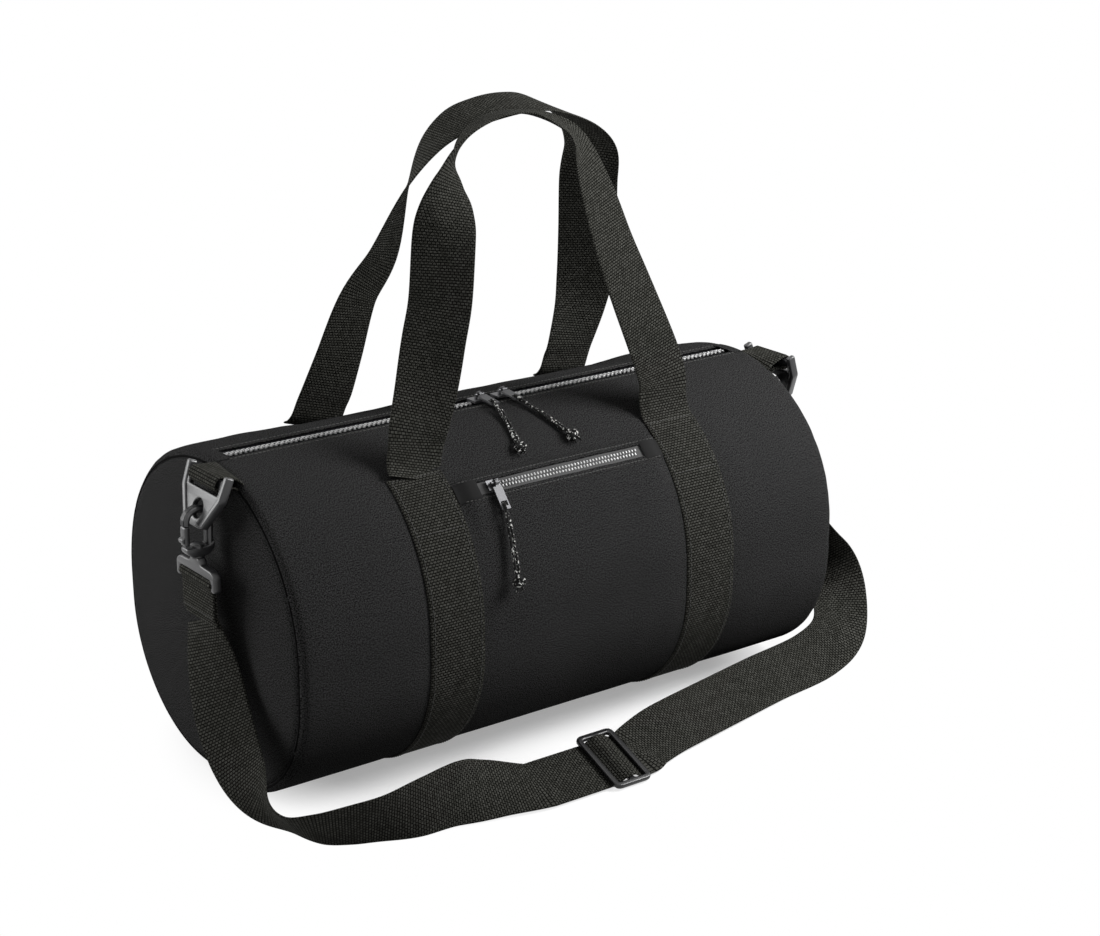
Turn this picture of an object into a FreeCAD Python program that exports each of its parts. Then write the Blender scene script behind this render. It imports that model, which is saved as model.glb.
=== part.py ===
# A barrel bag of fabric with webbing handles, zips and a clip-on shoulder strap.
# Lengths in millimetres. The floor is z = 0, x runs along the bag and the front faces -y.
import FreeCAD, Part
import math
import os

V = FreeCAD.Vector

# Body
BAG_LENGTH = 500.0
BAG_RADIUS = 125.0
BASE_CORNER_RADIUS = 103.0
FABRIC = 1.2
END_DOME = 10.0
END_INSET = 0.05
BINDING_WIDTH = 9.0
BINDING_THICKNESS = 1.0
BINDING_GAP = 0.3

# Webbing
WEBBING_WIDTH = 47.0
WEBBING_THICKNESS = 1.6
STRIP_X = 119.5
STITCH_ANGLE = 34.4
HANDLE_GAP_ANGLE = 0.4
BASE_TAPE_WIDTH = 30.0

# Main zip
ZIP_SLOT_HALF = 9.0
ZIP_TAPE_REACH = 15.0
ZIP_TAPE_THICKNESS = 0.7
ZIP_TAPE_CLEAR = 0.19
ZIP_TAPE_SHORTER = 6.0
TOOTH_PITCH = 3.8
TOOTH_LENGTH = 1.7
TOOTH_REACH = 3.6
TOOTH_LAP = 0.9
TOOTH_HEIGHT = 3.2
TOOTH_END_MARGIN = 12.0
TOOTH_FREE_HALF = 6.5

# Main sliders, two head to head
SLIDER_X = 11.0
SLIDER_LENGTH = 16.0
SLIDER_WIDTH = 11.0
SLIDER_PLATE = 1.8
SLIDER_CLEAR = 0.45
SLIDER_POST = 2.4
BRIDGE_RADIUS = 1.0
BRIDGE_LENGTH = 8.0
BRIDGE_RISE = 3.1
BRIDGE_FOOT = 1.8

# Pull tabs and their cords
TAB_RING_INNER = 1.35
TAB_RING_OUTER = 2.5
TAB_RING_WIDTH = 2.4
TAB_LENGTH = 22.0
TAB_WIDTH = 7.6
TAB_THICKNESS = 1.5
TAB_NECK = 2.0
EYE_FROM = 15.4
EYE_TO = 19.4
EYE_WIDTH = 5.6
MAIN_TAB_SLOPE = 6.0
POCKET_TAB_SLOPE = 5.0
CORD_DIAMETER = 2.2
CORD_GAP = 0.12
STRAND_HALF = 1.4
KNOT_RADIUS = 3.4
KNOT_LENGTH = 7.0
KNOT_ROUND = 1.8
KNOT_GAP = 0.45
CORD_TURN_SHARE = 0.45
CORD_LIFT = 1.0

# Cord runs: (angle from the slider, height above the fabric, sideways share of the splay)
MAIN_CORD_RUN = [(13.5, 3.4, 0.2), (22.0, 2.6, 0.55), (31.0, 3.6, 1.0)]
MAIN_SPLAY = 12.0
POCKET_CORD_RUN = [(14.0, 6.8, 0.2), (22.0, 6.4, 0.6), (30.0, 8.0, 1.0)]
POCKET_SPLAY = 4.0

# Front pocket
POCKET_ZIP_ANGLE = 45.4
POCKET_HALF = 92.0
POCKET_STAND = 3.0
POCKET_CLOTH = 1.0
POCKET_CLOTH_GAP = 0.05
POCKET_FACING_SPAN = 5.0
POCKET_SLOT_HALF = 3.0
POCKET_END_ANGLE = 132.0
POCKET_SIDE_SEAM = 3.0
POCKET_TAPE_HALF = 6.0
POCKET_TAPE = 0.4
POCKET_ZIP_HALF = 78.0
COIL_PITCH = 2.2
COIL_LENGTH = 1.3
COIL_GAP = 0.2
COIL_REACH = 1.9
COIL_HEIGHT = 1.4
COIL_MARGIN = 3.0
POCKET_SLIDER_INSET = 14.0
POCKET_SLIDER_LENGTH = 11.0
POCKET_SLIDER_WIDTH = 8.0
POCKET_SLIDER_PLATE = 1.0
ZIP_STOP_LENGTH = 8.0
ZIP_STOP_THICKNESS = 0.8

# Ring tabs, rings and clips at both ends
HARDWARE_Y = -29.0
RING_OUT = 14.0
RING_BELOW_TOP = 5.6
RING_LEAN_X = 11.0
RING_DROP = 30.0
RING_BAR = 2.6
RING_THICKNESS = 4.0
RING_SLOT_TO = 8.2
RING_SLOT_HALF = 20.5
RING_EYE = 7.2
RING_TOP_HALF = 27.0
RING_LOW_HALF = 15.0
TAB_WEB_WIDTH = 38.0
TAB_LOOP_GAP = 0.4
RING_SEWN = 22.0
HOOK_INNER = 6.4
HOOK_OUTER = 12.0
HOOK_THICKNESS = 10.0
HOOK_OPEN_HALF = 6.0
HOOK_BASE_DROP = 18.0
HOOK_BASE_HEIGHT = 7.0
GATE_THICKNESS = 3.4
GATE_WIDTH = 7.0
GATE_GAP = 0.4
GATE_PIN = 1.2
GATE_PIN_FIT = 0.05
GATE_EYE = 2.4
NECK_RADIUS = 4.0
NECK_LENGTH = 7.0
NECK_FIT = 0.05
NECK_HEAD_RADIUS = 5.6
NECK_HEAD = 2.0
SWIVEL_GAP = 0.4
SWIVEL_CROWN = 5.0
SWIVEL_HALF = 27.5
SWIVEL_DEPTH = 6.0
SWIVEL_HEIGHT = 19.0
SWIVEL_SIDE = 3.4
SWIVEL_BAR = 2.4
STRAP_WIDTH = 46.0
STRAP_END_LENGTH = 30.0
STRAP_JOIN_GAP = 0.3

# Shoulder strap: centre points and the direction across the strap
STRAP_DROP = [((-275.0, -42.0, 112.0), (0.12, -1.0, 0.05)),
              ((-279.0, -62.0, 80.0), (0.1, -1.0, 0.15)),
              ((-281.0, -86.0, 52.0), (0.0, -0.95, 0.3)),
              ((-279.0, -113.0, 31.0), (-0.3, -0.8, 0.45)),
              ((-270.0, -136.0, 21.0), (-0.5, -0.55, 0.65)),
              ((-256.0, -151.0, 20.0), (-0.4, -0.45, 0.8)),
              ((-235.0, -162.0, 21.5), (-0.2, -0.4, 0.89)),
              ((-213.0, -169.0, 23.0), (-0.12, -0.3, 0.94)),
              ((-184.0, -172.0, 24.0), (0.0, 0.0, 1.0)),
              ((-151.0, -169.0, 23.5), (0.0, 0.25, 0.97)),
              ((-118.0, -166.0, 17.0), (0.1, 0.74, 0.67))]
STRAP_MIDDLE_X = [-80.0, 8.0]
STRAP_MIDDLE_Y = -172.0
STRAP_MIDDLE_Z = 13.0
STRAP_MIDDLE_TILT = 21.0
STRAP_RISE = [((22.0, -165.0, 11.5), (-0.2, 0.88, 0.4)),
              ((46.0, -158.0, 13.5), (-0.2, 0.84, 0.5)),
              ((71.0, -153.0, 14.5), (-0.2, 0.82, 0.53)),
              ((123.0, -142.0, 14.5), (-0.2, 0.82, 0.53)),
              ((176.0, -131.0, 14.5), (-0.2, 0.82, 0.53)),
              ((240.0, -120.0, 15.0), (-0.2, 0.8, 0.55)),
              ((277.0, -109.0, 25.0), (-0.3, 0.8, 0.5)),
              ((300.0, -84.0, 46.0), (-0.35, 0.88, 0.3)),
              ((308.0, -60.0, 72.0), (-0.2, 0.97, 0.1)),
              ((300.0, -44.0, 100.0), (-0.05, 1.0, 0.0)),
              ((285.0, -34.0, 124.0), (0.0, 1.0, 0.0))]
ADJUSTER_X = -12.0
ADJUSTER_LENGTH = 34.0
ADJUSTER_WIDTH = 57.0
ADJUSTER_THICKNESS = 3.0
ADJUSTER_RAIL = 4.6
ADJUSTER_BAR = 5.0
ADJUSTER_CLEAR = 0.5

# Handles: (x, z, turn of the webbing in degrees) above the stitching, front then rear
FRONT_HANDLE = [(-109.0, 262.0, -8.0), (-98.0, 290.0, -20.0), (-87.0, 322.0, -34.0), (-77.0, 350.0, -38.0),
                (-68.0, 391.0, -28.0), (-62.0, 414.0, 0.0), (-57.0, 432.0, 30.0), (-50.0, 449.0, 55.0),
                (-35.0, 464.0, 75.0), (-12.0, 474.0, 88.0), (10.0, 475.0, 95.0), (30.0, 470.0, 106.0),
                (50.0, 461.0, 120.0), (65.0, 444.0, 142.0), (76.0, 409.0, 158.0), (87.0, 367.0, 166.0),
                (98.0, 333.0, 172.0), (114.0, 285.0, 178.0), (119.5, 262.0, 180.0)]
REAR_HANDLE = [(-109.0, 262.0, 0.0), (-101.0, 288.0, 6.0), (-88.0, 332.0, 16.0), (-68.0, 364.0, 24.0),
               (-52.0, 413.0, 48.0), (-33.0, 446.0, 70.0), (-8.0, 464.0, 86.0), (18.0, 471.0, 90.0),
               (45.0, 473.0, 90.0), (70.0, 469.0, 88.0), (103.0, 453.0, 80.0), (122.0, 430.0, 64.0),
               (124.0, 401.0, 42.0), (129.0, 358.0, 34.0), (132.0, 320.0, 26.0), (131.0, 294.0, 12.0),
               (125.0, 262.0, 0.0)]
HANDLE_FOOT = [(66.5, 236.5), (64.0, 247.0)]
HANDLE_LEAN_Y = 63.0
HANDLE_LEAN_Z = 262.0
FRONT_LEAN_SLOPE = 0.19
REAR_LEAN_SLOPE = 0.175

BASE_Z = WEBBING_THICKNESS
MIDDLE_Z = BASE_Z + BAG_RADIUS
CORNER_Z = BASE_Z + BASE_CORNER_RADIUS
CORNER_Y = BAG_RADIUS - BASE_CORNER_RADIUS
TOP_Z = MIDDLE_Z + BAG_RADIUS
HALF_LENGTH = BAG_LENGTH / 2
QUARTER = 90.0
HALF_TURN = 180.0
TAPE_TOP = MIDDLE_Z + math.sqrt((BAG_RADIUS - FABRIC) ** 2 - ZIP_TAPE_REACH ** 2) - ZIP_TAPE_CLEAR
RING_X = HALF_LENGTH + RING_OUT
RING_Z = TOP_Z - RING_BELOW_TOP
POCKET_SLIDER_X = POCKET_SLIDER_INSET - POCKET_ZIP_HALF
STRAP_END_Z = RING_Z - RING_DROP - HOOK_BASE_DROP - HOOK_BASE_HEIGHT - SWIVEL_HEIGHT - STRAP_END_LENGTH
X_AXIS = V(1, 0, 0)
Y_AXIS = V(0, 1, 0)
Z_AXIS = V(0, 0, 1)


def on_body(x, angle, offset, side=-1):
    """A point beside the upper round of the body, angle from the top, side -1 is the front."""
    turn = math.radians(angle)
    reach = BAG_RADIUS + offset
    return V(x, side * reach * math.sin(turn), MIDDLE_Z + reach * math.cos(turn))


def on_corner(x, angle, offset, side):
    """A point beside the lower corner of the body; 90 is its widest, 180 its lowest."""
    turn = math.radians(angle)
    reach = BASE_CORNER_RADIUS + offset
    return V(x, side * (CORNER_Y + reach * math.sin(turn)), CORNER_Z + reach * math.cos(turn))


def girth_points(x, offset, start, end, side):
    """Edges of the body's outline on one side, from an angle on the round to one on the corner."""
    upper = [on_body(x, start, offset, side), on_body(x, (start + QUARTER) / 2, offset, side),
             on_body(x, QUARTER, offset, side)]
    lower = [on_corner(x, QUARTER, offset, side), on_corner(x, (QUARTER + end) / 2, offset, side),
             on_corner(x, end, offset, side)]
    edges = [Part.Arc(*upper).toShape(), Part.makeLine(upper[2], lower[0]), Part.Arc(*lower).toShape()]
    last = lower[2]
    if end == HALF_TURN:
        last = V(x, 0, BASE_Z - offset)
        edges.append(Part.makeLine(lower[2], last))
    return edges, upper[0], last


def side_shell(x_from, x_to, inner, outer, start, end, side):
    """A piece of cloth around one side of the body, between two offsets."""
    edges, first, last = girth_points(x_from, outer, start, end, side)
    inner_edges, inner_first, inner_last = girth_points(x_from, inner, start, end, side)
    edges += [Part.makeLine(first, inner_first), Part.makeLine(last, inner_last)] + inner_edges
    wire = Part.Wire(Part.__sortEdges__(edges))
    return Part.Face(wire).extrude(V(x_to - x_from, 0, 0))


def round_patch(x_from, x_to, inner, outer, start, end, side=-1):
    """A strip of cloth on the upper round only."""
    middle = (start + end) / 2
    outer_arc = [on_body(x_from, angle, outer, side) for angle in (start, middle, end)]
    inner_arc = [on_body(x_from, angle, inner, side) for angle in (end, middle, start)]
    edges = [Part.Arc(*outer_arc).toShape(), Part.makeLine(outer_arc[2], inner_arc[0]),
             Part.Arc(*inner_arc).toShape(), Part.makeLine(inner_arc[2], outer_arc[0])]
    return Part.Face(Part.Wire(edges)).extrude(V(x_to - x_from, 0, 0))


def box(x_from, x_to, y_from, y_to, z_from, z_to):
    return Part.makeBox(x_to - x_from, y_to - y_from, z_to - z_from, V(x_from, y_from, z_from))


def rod(start, end, radius):
    return Part.makeCylinder(radius, (end - start).Length, start, end - start)


def join(shapes):
    """One solid from overlapping solids."""
    return shapes[0].multiFuse(shapes[1:]).removeSplitter()


def unit(vector):
    return V(vector).normalize()


def ribbon(sections, width, thickness):
    """A flat band through sections of (centre, direction along, direction across)."""
    wires = []
    for centre, along, across in sections:
        face = unit(along.cross(across))
        wide = unit(face.cross(along)) * (width / 2)
        deep = face * (thickness / 2)
        corners = [centre + wide + deep, centre - wide + deep, centre - wide - deep, centre + wide - deep]
        wires.append(Part.makePolygon(corners + corners[:1]))
    return Part.makeLoft(wires, True, True)


def with_runs(points, widths):
    """Sections along a list of points, each looking from its last neighbour to its next."""
    sections = []
    for index, centre in enumerate(points):
        before = points[max(index - 1, 0)]
        after = points[min(index + 1, len(points) - 1)]
        sections.append((centre, unit(after - before), widths[index]))
    return sections


def end_panel(side):
    """The round end, bulging a little."""
    sphere_radius = (BAG_RADIUS ** 2 + END_DOME ** 2) / (2 * END_DOME)
    centre = V(HALF_LENGTH + END_DOME - sphere_radius, 0, MIDDLE_Z)
    ball = Part.makeSphere(sphere_radius, centre).cut(Part.makeSphere(sphere_radius - FABRIC, centre))
    inside = FABRIC + END_INSET
    halves = []
    for half in (-1, 1):
        edges, first, last = girth_points(HALF_LENGTH - BAG_RADIUS / 2, -inside, 0.0, HALF_TURN, half)
        face = Part.Face(Part.Wire(Part.__sortEdges__(edges + [Part.makeLine(first, last)])))
        halves.append(face.extrude(V(BAG_RADIUS, 0, 0)))
    panel = ball.common(join(halves))
    return panel if side > 0 else panel.mirror(V(0, 0, 0), X_AXIS)


def seam_binding(side):
    """The tape that binds the raw edges inside an end seam."""
    outer = -(FABRIC + BINDING_GAP)
    inner = outer - BINDING_THICKNESS
    x_from = HALF_LENGTH - BINDING_WIDTH - END_DOME
    halves = []
    for half in (-1, 1):
        halves.append(side_shell(x_from, x_from + BINDING_WIDTH, inner, outer, ZIP_TAPE_SHORTER + END_DOME,
                                 HALF_TURN, half))
    ring = join(halves)
    return ring if side > 0 else ring.mirror(V(0, 0, 0), X_AXIS)


def webbing_strip(side):
    """The webbing under the bag, from the front stitching round to the rear stitching."""
    low = side * STRIP_X - WEBBING_WIDTH / 2
    return join([side_shell(low, low + WEBBING_WIDTH, 0.0, WEBBING_THICKNESS, STITCH_ANGLE, HALF_TURN, half)
                 for half in (-1, 1)])


def base_seam_tape():
    """Tape over the seam of the two panels under the bag, level with the webbing."""
    half_x = STRIP_X - WEBBING_WIDTH / 2
    return box(-half_x, half_x, -BASE_TAPE_WIDTH / 2, BASE_TAPE_WIDTH / 2, 0.0, BASE_Z)


def handle(points, side, slope):
    """A free webbing handle between its two stitched feet; it leans inwards and turns flat at the grip."""
    start = on_body(0.0, STITCH_ANGLE - HANDLE_GAP_ANGLE, WEBBING_THICKNESS / 2, side)
    foot = [(start.y, start.z)] + [(side * y, z) for y, z in HANDLE_FOOT]
    route = [V(-STRIP_X, y, z) for y, z in foot]
    for x, z, turn in points:
        route.append(V(x, side * (HANDLE_LEAN_Y - (z - HANDLE_LEAN_Z) * slope), z))
    route += [V(STRIP_X, y, z) for y, z in reversed(foot)]
    turns = [0.0] * len(foot) + [turn for x, z, turn in points] + [points[-1][2]] * len(foot)
    lean = unit(V(0, 1, side * slope))
    sections = []
    for centre, along, turn in with_runs(route, turns):
        flat = unit(lean - along * along.dot(lean))
        twist = math.radians(turn)
        sections.append((centre, along, flat.cross(along) * math.cos(twist) + flat * math.sin(twist)))
    return ribbon(sections, WEBBING_WIDTH, WEBBING_THICKNESS)


def zip_tape(side):
    """Half of the main zip's tape, tucked under the panel edge."""
    low, high = sorted((side * TOOTH_REACH, side * ZIP_TAPE_REACH))
    half = HALF_LENGTH - ZIP_TAPE_SHORTER
    return box(-half, half, low, high, TAPE_TOP - ZIP_TAPE_THICKNESS, TAPE_TOP)


def zip_teeth(side):
    """One row of the main zip's teeth; the rows lap each other by half a pitch."""
    teeth = []
    middle = TAPE_TOP - ZIP_TAPE_THICKNESS / 2
    low, high = sorted((-side * TOOTH_LAP, side * TOOTH_REACH))
    count = int((HALF_LENGTH - TOOTH_END_MARGIN) / TOOTH_PITCH)
    for index in range(-count, count):
        x = (index + (0.5 if side > 0 else 0.0)) * TOOTH_PITCH
        if abs(x) > TOOTH_FREE_HALF + TOOTH_LENGTH:
            teeth.append(box(x - TOOTH_LENGTH / 2, x + TOOTH_LENGTH / 2, low, high,
                             middle - TOOTH_HEIGHT / 2, middle + TOOTH_HEIGHT / 2))
    return Part.makeCompound(teeth)


def slider_body(length, width, plate, channel):
    """A zip slider around the zip's plane z = 0: two plates, a post at its nose +x and a bridge."""
    half_x, half_y, half_z = length / 2, width / 2, channel / 2
    upper = box(-half_x, half_x, -half_y, half_y, half_z, half_z + plate)
    lower = box(-half_x, half_x, -half_y, half_y, -half_z - plate, -half_z)
    post = box(half_x - SLIDER_POST, half_x, -SLIDER_POST / 2, SLIDER_POST / 2,
               -half_z - plate, half_z + plate)
    bridge_z = half_z + plate + BRIDGE_RISE
    bridge = rod(V(-BRIDGE_LENGTH / 2, 0, bridge_z), V(BRIDGE_LENGTH / 2, 0, bridge_z), BRIDGE_RADIUS)
    pieces = [upper, lower, post, bridge]
    for end in (-1, 1):
        x_low, x_high = sorted((end * BRIDGE_LENGTH / 2, end * (BRIDGE_LENGTH / 2 - BRIDGE_FOOT)))
        pieces.append(box(x_low, x_high, -BRIDGE_RADIUS, BRIDGE_RADIUS, half_z, bridge_z))
    return join(pieces), bridge_z


def pull_tab():
    """A pull tab around the bridge at the origin, hanging along -y, with an eye for its cord."""
    half = TAB_RING_WIDTH / 2
    ring = rod(V(-half, 0, 0), V(half, 0, 0), TAB_RING_OUTER)
    plate = box(-TAB_WIDTH / 2, TAB_WIDTH / 2, -TAB_LENGTH, -TAB_RING_OUTER - TAB_NECK / 2,
                -TAB_THICKNESS / 2, TAB_THICKNESS / 2)
    neck = box(-half, half, -TAB_RING_OUTER - TAB_NECK, -TAB_RING_INNER,
               -TAB_THICKNESS / 2, TAB_THICKNESS / 2)
    bore = rod(V(-TAB_WIDTH, 0, 0), V(TAB_WIDTH, 0, 0), TAB_RING_INNER)
    eye = box(-EYE_WIDTH / 2, EYE_WIDTH / 2, -EYE_TO, -EYE_FROM, -TAB_THICKNESS, TAB_THICKNESS)
    return join([ring, plate, neck]).cut(bore).cut(eye)


def cord_tube(points, diameter, name):
    """A round cord of straight runs joined by arcs; prints its tightest bend."""
    edges = []
    start = points[0]
    tightest = None
    for index in range(1, len(points) - 1):
        corner = points[index]
        back = unit(points[index - 1] - corner)
        ahead = unit(points[index + 1] - corner)
        runs = min((points[index - 1] - corner).Length, (points[index + 1] - corner).Length)
        trim = CORD_TURN_SHARE * runs
        inner = back.getAngle(ahead)
        radius = trim * math.tan(inner / 2)
        bisector = unit(back + ahead)
        centre = corner + bisector * (radius / math.sin(inner / 2))
        first, last = corner + back * trim, corner + ahead * trim
        edges.append(Part.makeLine(start, first))
        edges.append(Part.Arc(first, centre - bisector * radius, last).toShape())
        start = last
        tightest = radius if tightest is None else min(tightest, radius)
    edges.append(Part.makeLine(start, points[-1]))
    wire = Part.Wire(edges)
    circle = Part.Wire(Part.makeCircle(diameter / 2, points[0], points[1] - points[0]))
    tube = wire.makePipeShell([circle], True, False)
    print(name, "length", round(wire.Length, 1), "tightest bend radius", round(tightest, 2))
    return tube


def place(shape, x, angle, offset, slope=0.0):
    """Lay a local shape on the upper round: its -y down the front and its z outwards."""
    spot = on_body(x, angle, offset)
    turn = FreeCAD.Rotation(X_AXIS, angle + slope)
    copy = shape.copy()
    copy.Placement = FreeCAD.Placement(spot, turn).multiply(copy.Placement)
    return copy


def pull_cord(x, angle, bridge_offset, slope, run, splay, name):
    """The looped cord of a pull and its knot: down from the knot, through the eye, back to the knot."""
    step = TAB_THICKNESS / 2 + CORD_DIAMETER / 2 + CORD_GAP
    spot = on_body(x, angle, bridge_offset)
    turn = FreeCAD.Rotation(X_AXIS, angle + slope)
    eye_middle = EYE_FROM + CORD_DIAMETER / 2 + CORD_GAP

    def on_tab(side_x, reach, out):
        return spot + turn.multVec(V(side_x, -reach, out))

    def strand(side_x, extra):
        return [on_body(x + share * splay + side_x, angle + turn_by, height + extra * (1 - share))
                for turn_by, height, share in run]

    outer = strand(-STRAND_HALF, CORD_LIFT)
    inner = strand(STRAND_HALF, 0.0)
    eye = [on_tab(-STRAND_HALF, TAB_LENGTH, step), on_tab(-STRAND_HALF, eye_middle, step),
           on_tab(STRAND_HALF, eye_middle, -step), on_tab(STRAND_HALF, TAB_LENGTH, -step)]
    route = outer[::-1] + eye + inner
    ends = (outer[-1] + inner[-1]) * 0.5
    knot_way = unit(inner[-1] - inner[-2])
    knot_start = ends + knot_way * KNOT_GAP
    knot = rod(knot_start, knot_start + knot_way * KNOT_LENGTH, KNOT_RADIUS)
    knot = knot.makeFillet(KNOT_ROUND, [knot.Edges[2]])
    return cord_tube(route, CORD_DIAMETER, name), knot


def coil_row(side):
    """One row of the pocket zip's coil."""
    teeth = []
    count = int((POCKET_ZIP_HALF - COIL_MARGIN) / COIL_PITCH)
    low, high = sorted((side * COIL_GAP / 2, side * COIL_REACH))
    first = POCKET_SLIDER_X - POCKET_SLIDER_LENGTH / 2 + SLIDER_POST + COIL_LENGTH
    for index in range(-count, count):
        x = (index + (0.5 if side > 0 else 0.0)) * COIL_PITCH
        if x < first:
            continue
        block = box(-COIL_LENGTH / 2, COIL_LENGTH / 2, low, high, 0.0, COIL_HEIGHT)
        teeth.append(place(block, x, POCKET_ZIP_ANGLE, POCKET_STAND + POCKET_TAPE / 2))
    return Part.makeCompound(teeth)


def arc_degrees(length, offset=0.0):
    return math.degrees(length / (BAG_RADIUS + offset))


def ring_loop(side):
    """The webbing tab at an end: sewn to the body, round the ring's top bar and back."""
    low = HARDWARE_Y - TAB_WEB_WIDTH / 2
    inner = RING_BAR + TAB_LOOP_GAP
    outer = inner + WEBBING_THICKNESS
    loop = rod(V(RING_X, low, RING_Z), V(RING_X, low + TAB_WEB_WIDTH, RING_Z), outer)
    angle = math.degrees(math.asin(-HARDWARE_Y / BAG_RADIUS))
    spread = arc_degrees(TAB_WEB_WIDTH / 2)
    sewn = round_patch(HALF_LENGTH - RING_SEWN, HALF_LENGTH, 0.0, WEBBING_THICKNESS,
                       angle - spread, angle + spread)
    seam = on_body(HALF_LENGTH, angle, WEBBING_THICKNESS / 2)
    slant = on_body(0.0, angle + QUARTER, 0.0) - V(0, 0, MIDDLE_Z)
    over_bar = V(RING_X, HARDWARE_Y, RING_Z + (inner + outer) / 2)
    tail = ribbon([(seam, X_AXIS, slant), (over_bar, X_AXIS, -Y_AXIS)], TAB_WEB_WIDTH, WEBBING_THICKNESS)
    bore = rod(V(RING_X, low - RING_BAR, RING_Z), V(RING_X, low + TAB_WEB_WIDTH + RING_BAR, RING_Z), inner)
    tab = join([sewn, tail, loop]).cut(bore)
    return tab if side > 0 else tab.mirror(V(0, 0, 0), X_AXIS)


def ring(side):
    """A plastic ring plate: a round bar for the webbing above, an eye for the clip below."""
    reach = math.hypot(RING_LEAN_X, RING_DROP)
    top, low = RING_BAR, -reach
    corners = [V(0, -RING_TOP_HALF, top), V(0, RING_TOP_HALF, top), V(0, RING_LOW_HALF, low),
               V(0, -RING_LOW_HALF, low)]
    plate = Part.Face(Part.makePolygon(corners + corners[:1])).extrude(V(RING_THICKNESS, 0, 0))
    plate.translate(V(-RING_THICKNESS / 2, 0, 0))
    slot = box(-RING_THICKNESS, RING_THICKNESS, -RING_SLOT_HALF, RING_SLOT_HALF, -RING_SLOT_TO, top)
    eye_z = -reach + RING_BAR + RING_EYE
    eye = rod(V(-RING_THICKNESS, 0, eye_z), V(RING_THICKNESS, 0, eye_z), RING_EYE)
    bar = rod(V(0, -RING_TOP_HALF + RING_BAR, 0), V(0, RING_TOP_HALF - RING_BAR, 0), RING_BAR)
    low_bar = rod(V(0, -RING_LOW_HALF, low), V(0, RING_LOW_HALF, low), RING_BAR)
    whole = join([plate.cut(slot).cut(eye), bar, low_bar])
    lean = math.degrees(math.atan2(RING_LEAN_X, RING_DROP))
    whole.Placement = FreeCAD.Placement(V(RING_X, HARDWARE_Y, RING_Z), FreeCAD.Rotation(Y_AXIS, -lean))
    return whole if side > 0 else whole.mirror(V(0, 0, 0), X_AXIS)


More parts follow.
